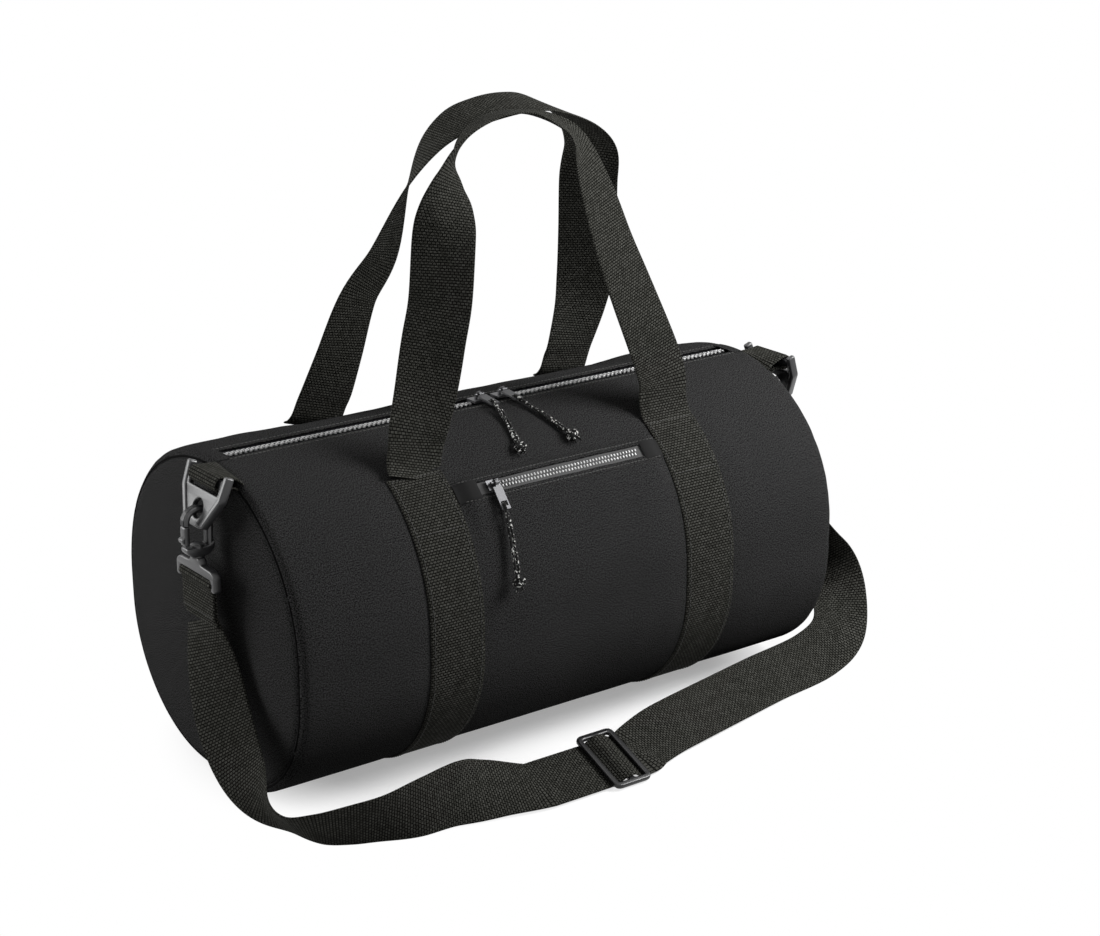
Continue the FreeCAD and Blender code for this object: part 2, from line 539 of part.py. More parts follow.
def clip_pieces(side):
    """Hook, gate and swivel of a clip that hangs on the ring's low bar, with the strap's sewn end."""
    x, z = RING_X + RING_LEAN_X, RING_Z - RING_DROP
    half = HOOK_THICKNESS / 2
    near, far = V(x, HARDWARE_Y - half, z), V(x, HARDWARE_Y + half, z)
    base_z = z - HOOK_BASE_DROP
    outer = rod(near, far, HOOK_OUTER)
    leg = box(x - HOOK_OUTER, x + HOOK_OUTER, near.y, far.y, base_z - HOOK_BASE_HEIGHT, z)
    well = box(x - HOOK_INNER, x + HOOK_INNER, near.y, far.y, base_z, z)
    mouth = box(x + HOOK_INNER - GATE_GAP, x + HOOK_OUTER + GATE_GAP, near.y, far.y, base_z, z)
    neck_bore = rod(V(x, HARDWARE_Y, base_z - HOOK_BASE_HEIGHT), V(x, HARDWARE_Y, base_z),
                    NECK_RADIUS + NECK_FIT)
    pin_x, pin_z = x + (HOOK_INNER + HOOK_OUTER) / 2, base_z + GATE_EYE + GATE_GAP
    pin = rod(V(pin_x, near.y, pin_z), V(pin_x, far.y, pin_z), GATE_PIN)
    cheeks = []
    gate_room = GATE_WIDTH / 2 + GATE_GAP
    for start, end in ((near.y, HARDWARE_Y - gate_room), (HARDWARE_Y + gate_room, far.y)):
        cheeks.append(box(pin_x - GATE_EYE, pin_x + GATE_EYE, start, end, base_z, pin_z + GATE_EYE))
    hook = outer.fuse(leg).cut(well).cut(rod(near, far, HOOK_INNER)).cut(mouth).cut(neck_bore)
    hook = join([hook, pin] + cheeks)

    gate_low, gate_high = HARDWARE_Y - GATE_WIDTH / 2, HARDWARE_Y + GATE_WIDTH / 2
    gate_eye = rod(V(pin_x, gate_low, pin_z), V(pin_x, gate_high, pin_z), GATE_EYE)
    finger = box(pin_x - GATE_THICKNESS / 2, pin_x + GATE_THICKNESS / 2, gate_low, gate_high,
                 pin_z, z - GATE_GAP)
    gate_bore = rod(V(pin_x, near.y, pin_z), V(pin_x, far.y, pin_z), GATE_PIN + GATE_PIN_FIT)
    gate = join([gate_eye, finger]).cut(gate_bore)

    crown_top = base_z - HOOK_BASE_HEIGHT - SWIVEL_GAP
    bar_z = crown_top - SWIVEL_HEIGHT + SWIVEL_BAR
    depth = SWIVEL_DEPTH
    wide = SWIVEL_HALF
    crown = box(x - depth, x + depth, HARDWARE_Y - wide, HARDWARE_Y + wide,
                crown_top - SWIVEL_CROWN, crown_top)
    neck = rod(V(x, HARDWARE_Y, crown_top - SWIVEL_CROWN / 2), V(x, HARDWARE_Y, base_z + SWIVEL_GAP),
               NECK_RADIUS)
    head = rod(V(x, HARDWARE_Y, base_z + SWIVEL_GAP), V(x, HARDWARE_Y, base_z + SWIVEL_GAP + NECK_HEAD),
               NECK_HEAD_RADIUS)
    bar = rod(V(x, HARDWARE_Y - wide, bar_z), V(x, HARDWARE_Y + wide, bar_z), SWIVEL_BAR)
    sides = []
    for start in (HARDWARE_Y - wide, HARDWARE_Y + wide - SWIVEL_SIDE):
        sides.append(box(x - SWIVEL_BAR, x + SWIVEL_BAR, start, start + SWIVEL_SIDE, bar_z, crown_top))
    swivel = join([crown, neck, head, bar] + sides)

    low = HARDWARE_Y - STRAP_WIDTH / 2
    inner = SWIVEL_BAR + TAB_LOOP_GAP
    around = inner + WEBBING_THICKNESS
    loop = rod(V(x, low, bar_z), V(x, low + STRAP_WIDTH, bar_z), around)
    tongue = box(x - WEBBING_THICKNESS, x + WEBBING_THICKNESS, low, low + STRAP_WIDTH,
                 STRAP_END_Z, bar_z - inner)
    loop_bore = rod(V(x, low, bar_z), V(x, low + STRAP_WIDTH, bar_z), inner)
    strap_end = join([loop, tongue]).cut(loop_bore)
    shapes = [hook, gate, swivel, strap_end]
    if side < 0:
        shapes = [shape.mirror(V(0, 0, 0), X_AXIS) for shape in shapes]
    return shapes


def strap_band(points, across, ends):
    """A free stretch of the shoulder strap, with the directions its two ends take."""
    sections = with_runs(points, across)
    for index, along in zip((0, -1), ends):
        sections[index] = (sections[index][0], along, sections[index][2])
    return ribbon(sections, STRAP_WIDTH, WEBBING_THICKNESS)


def strap_sides():
    """The stretches from each clip down to the floor and on to the adjuster's stretch."""
    under = strap_under()
    tilt = math.radians(STRAP_MIDDLE_TILT)
    level = V(0, math.cos(tilt), math.sin(tilt))
    floor_spot = V(0, STRAP_MIDDLE_Y - under * math.sin(tilt), STRAP_MIDDLE_Z + under * math.cos(tilt))
    clip_x = RING_X + RING_LEAN_X
    clip_z = STRAP_END_Z - STRAP_JOIN_GAP
    start, end = STRAP_MIDDLE_X
    left = [V(-clip_x, HARDWARE_Y, clip_z)] + [V(*spot) for spot, across in STRAP_DROP]
    left.append(floor_spot + V(start - STRAP_JOIN_GAP, 0, 0))
    left_across = [-Y_AXIS] + [V(*across) for spot, across in STRAP_DROP] + [level]
    right = [floor_spot + V(end + STRAP_JOIN_GAP, 0, 0)] + [V(*spot) for spot, across in STRAP_RISE]
    right.append(V(clip_x, HARDWARE_Y, clip_z))
    right_across = [level] + [V(*across) for spot, across in STRAP_RISE] + [Y_AXIS]
    return (strap_band(left, left_across, (-Z_AXIS, X_AXIS)),
            strap_band(right, right_across, (X_AXIS, Z_AXIS)))


def adjuster_frame():
    """Three-bar adjuster in its own plane, the strap along x and across along y."""
    half_x, half_y, half_z = ADJUSTER_LENGTH / 2, ADJUSTER_WIDTH / 2, ADJUSTER_THICKNESS / 2
    frame = box(-half_x, half_x, -half_y, half_y, -half_z, half_z)
    slot_y = half_y - ADJUSTER_RAIL
    for end in (-1, 1):
        low, high = sorted((end * ADJUSTER_BAR / 2, end * (half_x - ADJUSTER_RAIL)))
        frame = frame.cut(box(low, high, -slot_y, slot_y, -half_z, half_z))
    return frame


def tilt_strap(shape):
    """Carry a shape from the strap's own plane to the leaning stretch on the floor."""
    copy = shape.copy()
    turn = FreeCAD.Rotation(X_AXIS, STRAP_MIDDLE_TILT)
    copy.Placement = FreeCAD.Placement(V(ADJUSTER_X, STRAP_MIDDLE_Y, STRAP_MIDDLE_Z), turn)
    return copy


def strap_under():
    """How far the strap lies below the adjuster's middle plane under its rails."""
    return -(ADJUSTER_THICKNESS + WEBBING_THICKNESS) / 2 - ADJUSTER_CLEAR


def strap_middle():
    """The stretch through the adjuster: under its rails and over its middle bar."""
    under = strap_under()
    over = -under
    start, end = [x - ADJUSTER_X for x in STRAP_MIDDLE_X]
    rail = ADJUSTER_LENGTH / 2 - ADJUSTER_RAIL - ADJUSTER_CLEAR
    bar = ADJUSTER_BAR / 2 + WEBBING_THICKNESS
    run = [(start, under), (-rail, under), (-bar, over), (bar, over), (rail, under), (end, under)]
    points = [V(x, 0, z) for x, z in run]
    return tilt_strap(ribbon(with_runs(points, [Y_AXIS] * len(points)), STRAP_WIDTH, WEBBING_THICKNESS))


def pocket_cloth(start, end, outer_edge):
    """Cloth of the pocket over the zip tape, with a turned-in edge down to the body on each side."""
    low = POCKET_STAND + POCKET_TAPE + POCKET_CLOTH_GAP
    high = low + POCKET_CLOTH
    pieces = []
    for x_from, x_to, inner in ((-POCKET_HALF, POCKET_HALF, low),
                                (-POCKET_HALF, -POCKET_HALF + POCKET_SIDE_SEAM, 0.0),
                                (POCKET_HALF - POCKET_SIDE_SEAM, POCKET_HALF, 0.0)):
        if outer_edge:
            pieces.append(side_shell(x_from, x_to, inner, high, start, end, -1))
        else:
            pieces.append(round_patch(x_from, x_to, inner, high, start, end))
    return join(pieces)


def pocket_nodes():
    """Cloth, zip and end tabs of the front pocket."""
    slot = arc_degrees(POCKET_SLOT_HALF, POCKET_STAND)
    tape = arc_degrees(POCKET_TAPE_HALF, POCKET_STAND)
    coil = arc_degrees(COIL_REACH, POCKET_STAND)
    facing = arc_degrees(POCKET_FACING_SPAN, POCKET_STAND)
    zip_angle = POCKET_ZIP_ANGLE
    tape_x = POCKET_HALF - POCKET_SIDE_SEAM - SLIDER_CLEAR
    tape_high = POCKET_STAND + POCKET_TAPE
    shapes = {"pocket_panel": pocket_cloth(zip_angle + slot, POCKET_END_ANGLE, True),
              "pocket_facing": pocket_cloth(zip_angle - slot - facing, zip_angle - slot, False),
              "pocket_zip_tape_upper": round_patch(-tape_x, tape_x, POCKET_STAND, tape_high,
                                                   zip_angle - tape, zip_angle - coil),
              "pocket_zip_tape_lower": round_patch(-tape_x, tape_x, POCKET_STAND, tape_high,
                                                   zip_angle + coil, zip_angle + tape),
              "pocket_zip_coil_upper": coil_row(1),
              "pocket_zip_coil_lower": coil_row(-1)}
    for name, low in (("left", -POCKET_ZIP_HALF - ZIP_STOP_LENGTH), ("right", POCKET_ZIP_HALF)):
        stop_low = tape_high + POCKET_CLOTH + 2 * POCKET_CLOTH_GAP
        shapes["pocket_zip_stop_" + name] = round_patch(low, low + ZIP_STOP_LENGTH, stop_low,
                                                        stop_low + ZIP_STOP_THICKNESS,
                                                        zip_angle - tape, zip_angle + tape)
    return shapes


def pull_set(name, x, angle, zip_offset, slider, slope, run, splay, turned):
    """A placed slider with its pull tab, cord and knot."""
    shape, bridge_z = slider
    if turned:
        shape = shape.mirror(V(0, 0, 0), X_AXIS)
    cord, knot = pull_cord(x, angle, zip_offset + bridge_z, slope, run, splay, name + "_cord")
    return {name + "_slider": place(shape, x, angle, zip_offset),
            name + "_pull": place(pull_tab(), x, angle, zip_offset + bridge_z, slope),
            name + "_cord": cord,
            name + "_knot": knot}


def body_nodes():
    """Panels, bindings, webbing strips and the main zip."""
    shapes = {}
    shapes["base_seam_tape"] = base_seam_tape()
    slot = math.degrees(math.asin(ZIP_SLOT_HALF / BAG_RADIUS))
    for name, side in (("front", -1), ("rear", 1)):
        shapes[name + "_panel"] = side_shell(-HALF_LENGTH, HALF_LENGTH, -FABRIC, 0.0, slot, HALF_TURN, side)
        shapes["main_zip_tape_" + name] = zip_tape(side)
        shapes["main_zip_teeth_" + name] = zip_teeth(side)
    for name, side in (("left", -1), ("right", 1)):
        shapes["end_panel_" + name] = end_panel(side)
        shapes["seam_binding_" + name] = seam_binding(side)
        shapes["webbing_strip_" + name] = webbing_strip(side)
        shapes["ring_tab_" + name] = ring_loop(side)
    return shapes


def slider_nodes():
    """The two main sliders and the pocket slider with their pulls."""
    main_offset = TAPE_TOP - ZIP_TAPE_THICKNESS / 2 - TOP_Z
    main = slider_body(SLIDER_LENGTH, SLIDER_WIDTH, SLIDER_PLATE, TOOTH_HEIGHT + 2 * SLIDER_CLEAR)
    pocket = slider_body(POCKET_SLIDER_LENGTH, POCKET_SLIDER_WIDTH, POCKET_SLIDER_PLATE,
                         2 * COIL_HEIGHT + SLIDER_CLEAR)
    shapes = pull_set("main_left", -SLIDER_X, 0.0, main_offset, main, MAIN_TAB_SLOPE, MAIN_CORD_RUN,
                      -MAIN_SPLAY, False)
    shapes.update(pull_set("main_right", SLIDER_X, 0.0, main_offset, main, MAIN_TAB_SLOPE, MAIN_CORD_RUN,
                           MAIN_SPLAY, True))
    pocket_offset = POCKET_STAND + POCKET_TAPE / 2
    shapes.update(pull_set("pocket", POCKET_SLIDER_X, POCKET_ZIP_ANGLE, pocket_offset, pocket,
                           POCKET_TAB_SLOPE, POCKET_CORD_RUN, -POCKET_SPLAY, True))
    return shapes


def strap_nodes():
    """Rings and clips at both ends, and the shoulder strap between them."""
    shapes = {}
    for name, side in (("left", -1), ("right", 1)):
        shapes["ring_" + name] = ring(side)
        hook, gate, swivel, strap_end = clip_pieces(side)
        shapes["hook_" + name] = hook
        shapes["gate_" + name] = gate
        shapes["swivel_" + name] = swivel
        shapes["strap_end_" + name] = strap_end
    shapes["strap_left"], shapes["strap_right"] = strap_sides()
    shapes["strap_middle"] = strap_middle()
    shapes["strap_adjuster"] = tilt_strap(adjuster_frame())
    return shapes


def main():
    shapes = body_nodes()
    shapes.update(pocket_nodes())
    shapes.update(slider_nodes())
    shapes["front_handle"] = handle(FRONT_HANDLE, -1, FRONT_LEAN_SLOPE)
    shapes["rear_handle"] = handle(REAR_HANDLE, 1, REAR_LEAN_SLOPE)
    shapes.update(strap_nodes())
    os.makedirs("parts", exist_ok=True)
    for name in sorted(shapes):
        shapes[name].exportStep(os.path.join("parts", name + ".step"))
    print(len(shapes), "pieces")


main()
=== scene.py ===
import math

import bmesh
import bpy
from mathutils import Matrix, Vector, noise

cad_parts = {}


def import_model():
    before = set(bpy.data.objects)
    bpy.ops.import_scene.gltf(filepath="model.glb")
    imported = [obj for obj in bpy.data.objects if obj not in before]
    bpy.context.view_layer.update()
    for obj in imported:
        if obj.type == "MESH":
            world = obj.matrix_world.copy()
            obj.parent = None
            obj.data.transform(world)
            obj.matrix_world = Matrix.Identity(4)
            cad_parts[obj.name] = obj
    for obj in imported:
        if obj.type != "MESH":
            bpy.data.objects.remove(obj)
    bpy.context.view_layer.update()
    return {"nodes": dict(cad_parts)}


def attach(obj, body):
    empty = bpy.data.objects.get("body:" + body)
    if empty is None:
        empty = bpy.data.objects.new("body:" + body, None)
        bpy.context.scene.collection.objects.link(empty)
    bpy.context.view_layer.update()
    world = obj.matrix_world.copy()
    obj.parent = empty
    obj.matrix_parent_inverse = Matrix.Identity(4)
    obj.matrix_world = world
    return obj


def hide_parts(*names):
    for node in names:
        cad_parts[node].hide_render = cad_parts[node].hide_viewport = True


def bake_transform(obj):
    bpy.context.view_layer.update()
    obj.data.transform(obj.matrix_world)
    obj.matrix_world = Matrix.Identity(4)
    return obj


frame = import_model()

# Body outline, as in the CAD source
BAG_LENGTH = 0.5
BAG_RADIUS = 0.125
BASE_CORNER_RADIUS = 0.103
WEBBING_THICKNESS = 0.0016
WEBBING_WIDTH = 0.047
STRIP_X = 0.1195
STITCH_ANGLE = 34.4
LOW_STITCH_ANGLE = 56.1
ZIP_SLOT_HALF = 0.009
FABRIC = 0.0012
ZIP_TAPE_CLEAR = 0.00019
HALF_LENGTH = BAG_LENGTH / 2
BASE_Z = WEBBING_THICKNESS
MIDDLE_Z = BASE_Z + BAG_RADIUS
CORNER_Z = BASE_Z + BASE_CORNER_RADIUS
CORNER_Y = BAG_RADIUS - BASE_CORNER_RADIUS
STRIP_IN = STRIP_X - WEBBING_WIDTH / 2
STRIP_OUT = STRIP_X + WEBBING_WIDTH / 2

# Lengths of the outline's stretches on one side: round, side, corner, half of the base
ROUND_RUN = BAG_RADIUS * math.pi / 2
SIDE_RUN = BAG_RADIUS - BASE_CORNER_RADIUS
CORNER_RUN = BASE_CORNER_RADIUS * math.pi / 2
GIRTH = ROUND_RUN + SIDE_RUN + CORNER_RUN + CORNER_Y
HEM_RUN = BAG_RADIUS * math.asin(ZIP_SLOT_HALF / BAG_RADIUS)

# Surface textures: sizes, depths and waves per metre
YARN_LENGTH = 0.0030
YARN_PITCH = 0.0021
YARN_GAP = 0.0005
YARN_DEPTH = 0.0006
GRAIN_DEPTH = 0.0002
BRAID_DEPTH = 0.0003
FINE_DEPTH = 0.00004
CANVAS_WAVES = (1300.0, 1050.0, 1.0)
FIBRE_WAVES = (900.0, 2600.0, 1.0)
BRUSH_WAVES = (500.0, 4000.0, 500.0)
MOULD_WAVES = 900.0
FLECK_WAVES = 620.0
BRAID_WAVES = 1500.0

# Cloth; the waves of folds are per metre, followed by shifts that keep sides and ends apart
REAR_SWELL = 0.0080
REAR_SWELL_RUN = 0.15
END_ROLL = 0.006
ROLL_STEPS = 6
HEM_TURN = 0.008
HEM_DEPTH = 0.0016
HEM_EDGE_SHARES = (0.6, 0.2)
PUFF_END = 0.0022
PUFF_END_POWER = 0.7
PUFF_MIDDLE = 0.0006
PUFF_TOP = (0.012, 0.05)
PUFF_CORD = (0.055, 0.115)
PUFF_LOW_SHARES = (0.75, 0.4)
STRIP_EASE = 0.02
FOLD_SIZE = 0.0013
FOLD_WAVES = (13, 7)
FOLD_SHIFTS = (5, 2.3)
SMALL_FOLD_SHARE = 0.6
SMALL_FOLD_WAVES = (34, 14, 16, 9)
SMALL_FOLD_SHIFT = 7.1
PUCKER_SIZE = 0.0005
PUCKER_WAVES = 95
PUCKER_SHIFTS = (3.0, 4.0)
PUCKER_FADE = 0.022
CLOTH_COLUMNS = 150
CLOTH_ROWS = 110

# Round ends; a fold has its size, its waves per metre across and up, its shift and its rise from the rim
DOME = 0.0075
DOME_POWER = 2.4
DISC_DROP = 0.004
DISC_RIM = [(0.0050, 0.2465), (0.0056, 0.2490), (0.0070, 0.2508), (0.0095, 0.2518)]
DISC_FOLDS = [(0.0011, 15, 15, 3.0, 5), (0.0006, 40, 26, 5.0, 6)]
DISC_PUCKER = 0.0004
DISC_PUCKER_STEP = 0.45
DISC_PUCKER_SHIFTS = (2.0, 1.0)
DISC_RINGS = 26
DISC_STEPS = 150
# Seam shade line: a near-black tube of painted shade laid in the groove of each end seam
GROOVE_INSET = 0.0046
GROOVE_X = 0.2492
GROOVE_RADIUS = 0.0011
GROOVE_SIDES = 8

# Bands of webbing: edge points in edge widths from the border, with their shares of the thickness
BAND_EDGE_SHARE = 0.45
BAND_EDGE = [(0, 0.35), (1, 0.85), (3, 1.0)]
BAND_SHARP_ANGLE = 70.0
STRIP_ROWS = 70
LOOP_STEPS = 8

# Pocket
POCKET_ZIP_ANGLE = 45.4
POCKET_HALF = 0.0955
POCKET_STAND = 0.0030
POCKET_CLOTH_TOP = 0.0044
POCKET_LIE = 0.0011
POCKET_LOW_SHARE = 0.6
POCKET_EASE = 0.045
POCKET_SIDE_EASE = 0.012
POCKET_TURN = 0.006
POCKET_TURN_NEAR = 0.0003
POCKET_FOLD = 0.0009
POCKET_FOLD_SHARE = 0.7
POCKET_ROW = 0.0035
POCKET_ROWS_LEAST = 6
POCKET_COLUMNS = 90
POCKET_SLOT_HALF = 0.0054
POCKET_TAPE_SPAN = 0.0085
POCKET_TAPE_ROWS = 6
POCKET_TAPE_COLUMNS = 60
POCKET_THREAD_INSET = 0.0024
POCKET_THREAD_END = 0.004
POCKET_FACING_SPAN = 0.0085
FACING_FLAT_SHARE = 0.3
FACING_FADE_SHARE = 0.9
POCKET_END_RUN = 0.30
POCKET_ZIP_HALF = 0.078
POCKET_SLIDER_X = -0.064
COIL_PITCH = 0.0029
COIL_MARGIN = 0.003
COIL_REACH = 0.0023
COIL_LENGTH = 0.0015
COIL_HEIGHT = 0.0012
COIL_EDGE = 0.0004
COIL_SPLIT = 0.0004
STOP_LENGTH = 0.019
STOP_HALF = 0.0080
STOP_LIFT = 0.0002
STOP_THICKNESS = 0.0009
STOP_ROWS = 12
STOP_RIM_ROWS = 6

# Main zip, and the softened edges of all sliders and pulls
TOOTH_PITCH = 0.0042
TOOTH_LENGTH = 0.0033
TOOTH_ARM = 0.0009
TOOTH_REACH = 0.0026
TOOTH_HEIGHT = 0.0016
TOOTH_RAISE = 0.00078
TOOTH_MARGIN = 0.014
TOOTH_FREE_HALF = 0.0190
TOOTH_EDGE = 0.0002
TOOTH_SINK = 0.0003
ZIP_CAP_FROM = 0.2365
ZIP_CAP_ANGLE = 6.0
ZIP_CAP_LIFT = 0.0006
ZIP_CAP_ROWS = 14
ZIP_CAP_COLUMNS = 12
TAPE_REACH = 0.015
SLIDER_X = 0.011
SLIDER_EDGE = 0.0005
PULL_EDGE = 0.0004

# Pulls and cords, as in the CAD source
TAB_LENGTH = 0.022
TAB_THICKNESS = 0.0015
EYE_FROM = 0.0154
MAIN_TAB_SLOPE = 6.0
POCKET_TAB_SLOPE = 5.0
MAIN_BRIDGE = 0.0043
POCKET_BRIDGE = 0.008925
CORD_DIAMETER = 0.0022
CORD_GAP = 0.00012
CORD_LIFT = 0.001
STRAND_HALF = 0.0014
MAIN_CORD_RUN = [(13.5, 0.0034, 0.2), (22.0, 0.0026, 0.55), (31.0, 0.0036, 1.0)]
MAIN_SPLAY = 0.012
POCKET_CORD_RUN = [(14.0, 0.0068, 0.2), (22.0, 0.0064, 0.6), (30.0, 0.0080, 1.0)]
POCKET_SPLAY = 0.004

# Knots; the points of a tail lie along the cord, aside and up
KNOT_SIZE = 0.0054
KNOT_THICK = 0.0020
KNOT_GAP = 0.00045
KNOT_STEPS = 60
KNOT_CURVE_REACH = 3
TAIL_LINE = [(0.0, 0.0010, 0.0), (0.0040, 0.0016, 0.0), (0.0075, 0.0030, -0.0008)]
TAIL_SHARE = 0.42
TAIL_STEPS = 4

# Clips
HARDWARE_Y = -0.029
RING_X = 0.264
RING_Z = 0.246
RING_LEAN_X = 0.011
RING_DROP = 0.030
HOOK_FOOT_DROP = 0.018
CROWN_DROP = 0.0074
BAR_DROP = 0.0166
CLIP_X = RING_X + RING_LEAN_X
HOOK_Z = RING_Z - RING_DROP
CROWN_TOP_Z = HOOK_Z - HOOK_FOOT_DROP - CROWN_DROP
STRAP_BAR_Z = CROWN_TOP_Z - BAR_DROP

# Plates and bars of a clip: outlines, corner radii, and thickness with edge radius; the ring is measured
# from its own bar, hook and gate from the hook's pivot, bracket and neck from the bracket's top
CORNER_SHARE = 0.45
PLATE_SHARP_ANGLE = 40.0
WELD_DISTANCE = 1e-6
STEEP_SHARE = 0.9
RING_REACH = math.hypot(RING_LEAN_X, RING_DROP)
RING_RIM = 0.0032
RING_LOW = -RING_REACH - RING_RIM
RING_HALF = [(0.0285, RING_RIM), (0.0270, -0.010), (0.0125, RING_LOW)]
RING_CORNER = 0.006
RING_PLATE = (0.0044, 0.0010)
RING_SLOT_HALF = [(0.0205, -0.0030), (0.0205, -0.0082)]
RING_SLOT_CORNER = 0.0015
RING_EYE_UP = 0.0098
RING_EYE_RADIUS = 0.0072
RING_EYE_SIDES = 24
RING_LIP_RISE = 0.0040
RING_LIP_FOOT = 0.0034
RING_LIP_TOP = RING_RIM + RING_LIP_RISE
RING_LIP_LOW = RING_LOW + RING_LIP_FOOT
RING_LIP = [(0.0288, RING_LIP_TOP), (0.0240, RING_LIP_TOP), (0.0228, -0.0098), (0.0095, RING_LIP_LOW),
            (0.0122, RING_LOW), (0.0272, -0.0112)]
RING_LIP_CORNER = 0.002
RING_LIP_PLATE = (0.0068, 0.0012)
HOOK_BAR = [(-0.0085, -0.0200), (-0.0092, -0.0040), (-0.0088, 0.0030), (-0.0062, 0.0076), (0.0, 0.0098),
            (0.0062, 0.0076), (0.0088, 0.0030), (0.0090, -0.0005)]
HOOK_BAR_STEPS = 6
HOOK_BAR_WIDTH = 0.0090
HOOK_BAR_THICKNESS = 0.0050
HOOK_FOOT = [(-0.0118, -0.0140), (-0.0064, -0.0175), (0.0064, -0.0175), (0.0105, -0.0175),
             (0.0105, -0.0210), (0.0060, -0.0250), (-0.0060, -0.0250), (-0.0112, -0.0210)]
HOOK_FOOT_CORNER = 0.002
HOOK_FOOT_PLATE = (0.0100, 0.0012)
GATE = [(0.0074, -0.0156), (0.0114, -0.0160), (0.0112, -0.0018), (0.0072, -0.0010)]
GATE_CORNER = 0.0014
GATE_PLATE = (0.0070, 0.0009)
THUMB = [(0.0108, -0.0090), (0.0136, -0.0105), (0.0128, -0.0135), (0.0108, -0.0140)]
THUMB_CORNER = 0.001
THUMB_PLATE = (0.0064, 0.0006)
SWIVEL_HALF = [(0.0060, 0.0), (0.0080, -0.0046), (0.0225, -0.0052), (0.0275, -0.0085), (0.0275, -0.0205),
               (0.0222, -0.0205), (0.0222, -0.0120)]
SWIVEL_CORNER = 0.0022
SWIVEL_PLATE = (0.0064, 0.0012)
SWIVEL_BAR_HALF = 0.025
SWIVEL_BAR_RADIUS = 0.0024
NECK_PROFILE = [(0.0050, -0.001), (0.0050, 0.0012), (0.0042, 0.0016), (0.0042, 0.0028), (0.0050, 0.0032),
                (0.0050, 0.0046), (0.0042, 0.0050), (0.0042, 0.0062), (0.0052, 0.0066), (0.0052, 0.0088),
                (0.0040, 0.0094)]
NECK_SIDES = 20
NECK_SHARP_ANGLE = 35.0

# Ring tabs: x, and how far a point stands off the body
TAB_WEB_WIDTH = 0.038
TAB_SEWN = [(0.2450, -0.0040), (0.2505, 0.0002)]
TAB_LOWER = [(0.2540, -0.0068), (0.2480, -0.0080)]
TAB_LOOP_RADIUS = 0.0052
TAB_LOOP_TURN = 95.0
TAB_TURN_X = (0.236, 0.262)
TAB_STEPS = 5

# Shoulder strap: centres and the direction across it
STRAP_DROP = [((-0.2750, -0.0420, 0.1120), (0.35, -1.0, 0.0)),
              ((-0.2790, -0.0620, 0.0800), (0.50, -1.0, 0.0)),
              ((-0.2810, -0.0860, 0.0520), (0.38, -0.95, 0.15)),
              ((-0.2790, -0.1130, 0.0310), (0.0, -0.85, 0.38)),
              ((-0.2700, -0.1360, 0.0210), (-0.5, -0.55, 0.65)),
              ((-0.2560, -0.1510, 0.0200), (-0.4, -0.45, 0.8)),
              ((-0.2350, -0.1620, 0.0215), (-0.2, -0.4, 0.89)),
              ((-0.2130, -0.1690, 0.0230), (-0.12, -0.3, 0.94)),
              ((-0.1840, -0.1720, 0.0240), (0.0, 0.0, 1.0)),
              ((-0.1510, -0.1690, 0.0235), (0.0, 0.25, 0.97)),
              ((-0.1180, -0.1660, 0.0170), (0.1, 0.74, 0.67))]
STRAP_RISE = [((0.0220, -0.1650, 0.0115), (-0.2, 0.88, 0.4)),
              ((0.0460, -0.1580, 0.0135), (-0.2, 0.84, 0.5)),
              ((0.0710, -0.1530, 0.0145), (-0.2, 0.82, 0.53)),
              ((0.1230, -0.1420, 0.0145), (-0.2, 0.82, 0.53)),
              ((0.1760, -0.1310, 0.0145), (-0.2, 0.82, 0.53)),
              ((0.2400, -0.1200, 0.0150), (-0.2, 0.8, 0.55)),
              ((0.2770, -0.1090, 0.0250), (-0.3, 0.8, 0.5)),
              ((0.3000, -0.0840, 0.0460), (-0.35, 0.88, 0.3)),
              ((0.3080, -0.0600, 0.0720), (-0.2, 0.97, 0.1)),
              ((0.3000, -0.0440, 0.1000), (-0.05, 1.0, 0.0)),
              ((0.2850, -0.0340, 0.1240), (0.0, 1.0, 0.0))]
STRAP_WIDTH = 0.046
STRAP_LAYER = 0.0009
STRAP_MIDDLE_X = (-0.080, 0.008)
STRAP_MIDDLE_Y = -0.172
STRAP_MIDDLE_Z = 0.013
STRAP_MIDDLE_TILT = 21.0
STRAP_UNDER = -0.0028
STRAP_GUIDE = 0.030
STRAP_STEPS = 10
STRAP_MARKS = [0, 5, 30, 80]

# Sewn ends of the strap, and its stretch through the adjuster
STRAP_END_Z = 0.142
STRAP_INNER_Z = (0.150, 0.160)
STRAP_LAP_Z = (0.160, 0.152, 0.1465)
STRAP_LAP = 0.0011
STRAP_LOOP_RADIUS = 0.0036
STRAP_LOOP_NECK = 0.005
STRAP_END_STEPS = 4
STRAP_THREAD_SHARE = 0.46
STRAP_THREAD_LIFT = 0.0021
STRAP_THREAD_Z = 0.1495
STRAP_THREAD_STEPS = 30
STRAP_FLOOR_EASE = 0.008
STRAP_FLOOR_SHARES = (0.85, 0.9, 1.1)
STRAP_FLOOR_STEPS = 6
ADJUSTER_X = -0.012
ADJUSTER_LENGTH = 0.034
ADJUSTER_WIDTH = 0.057
ADJUSTER_RAIL = 0.0046
ADJUSTER_BAR = 0.005
ADJUSTER_CLEAR = 0.0005
ADJUSTER_CORNER = 0.006
ADJUSTER_SLOT_CORNER = 0.002
ADJUSTER_PLATE = (0.0040, 0.0013)

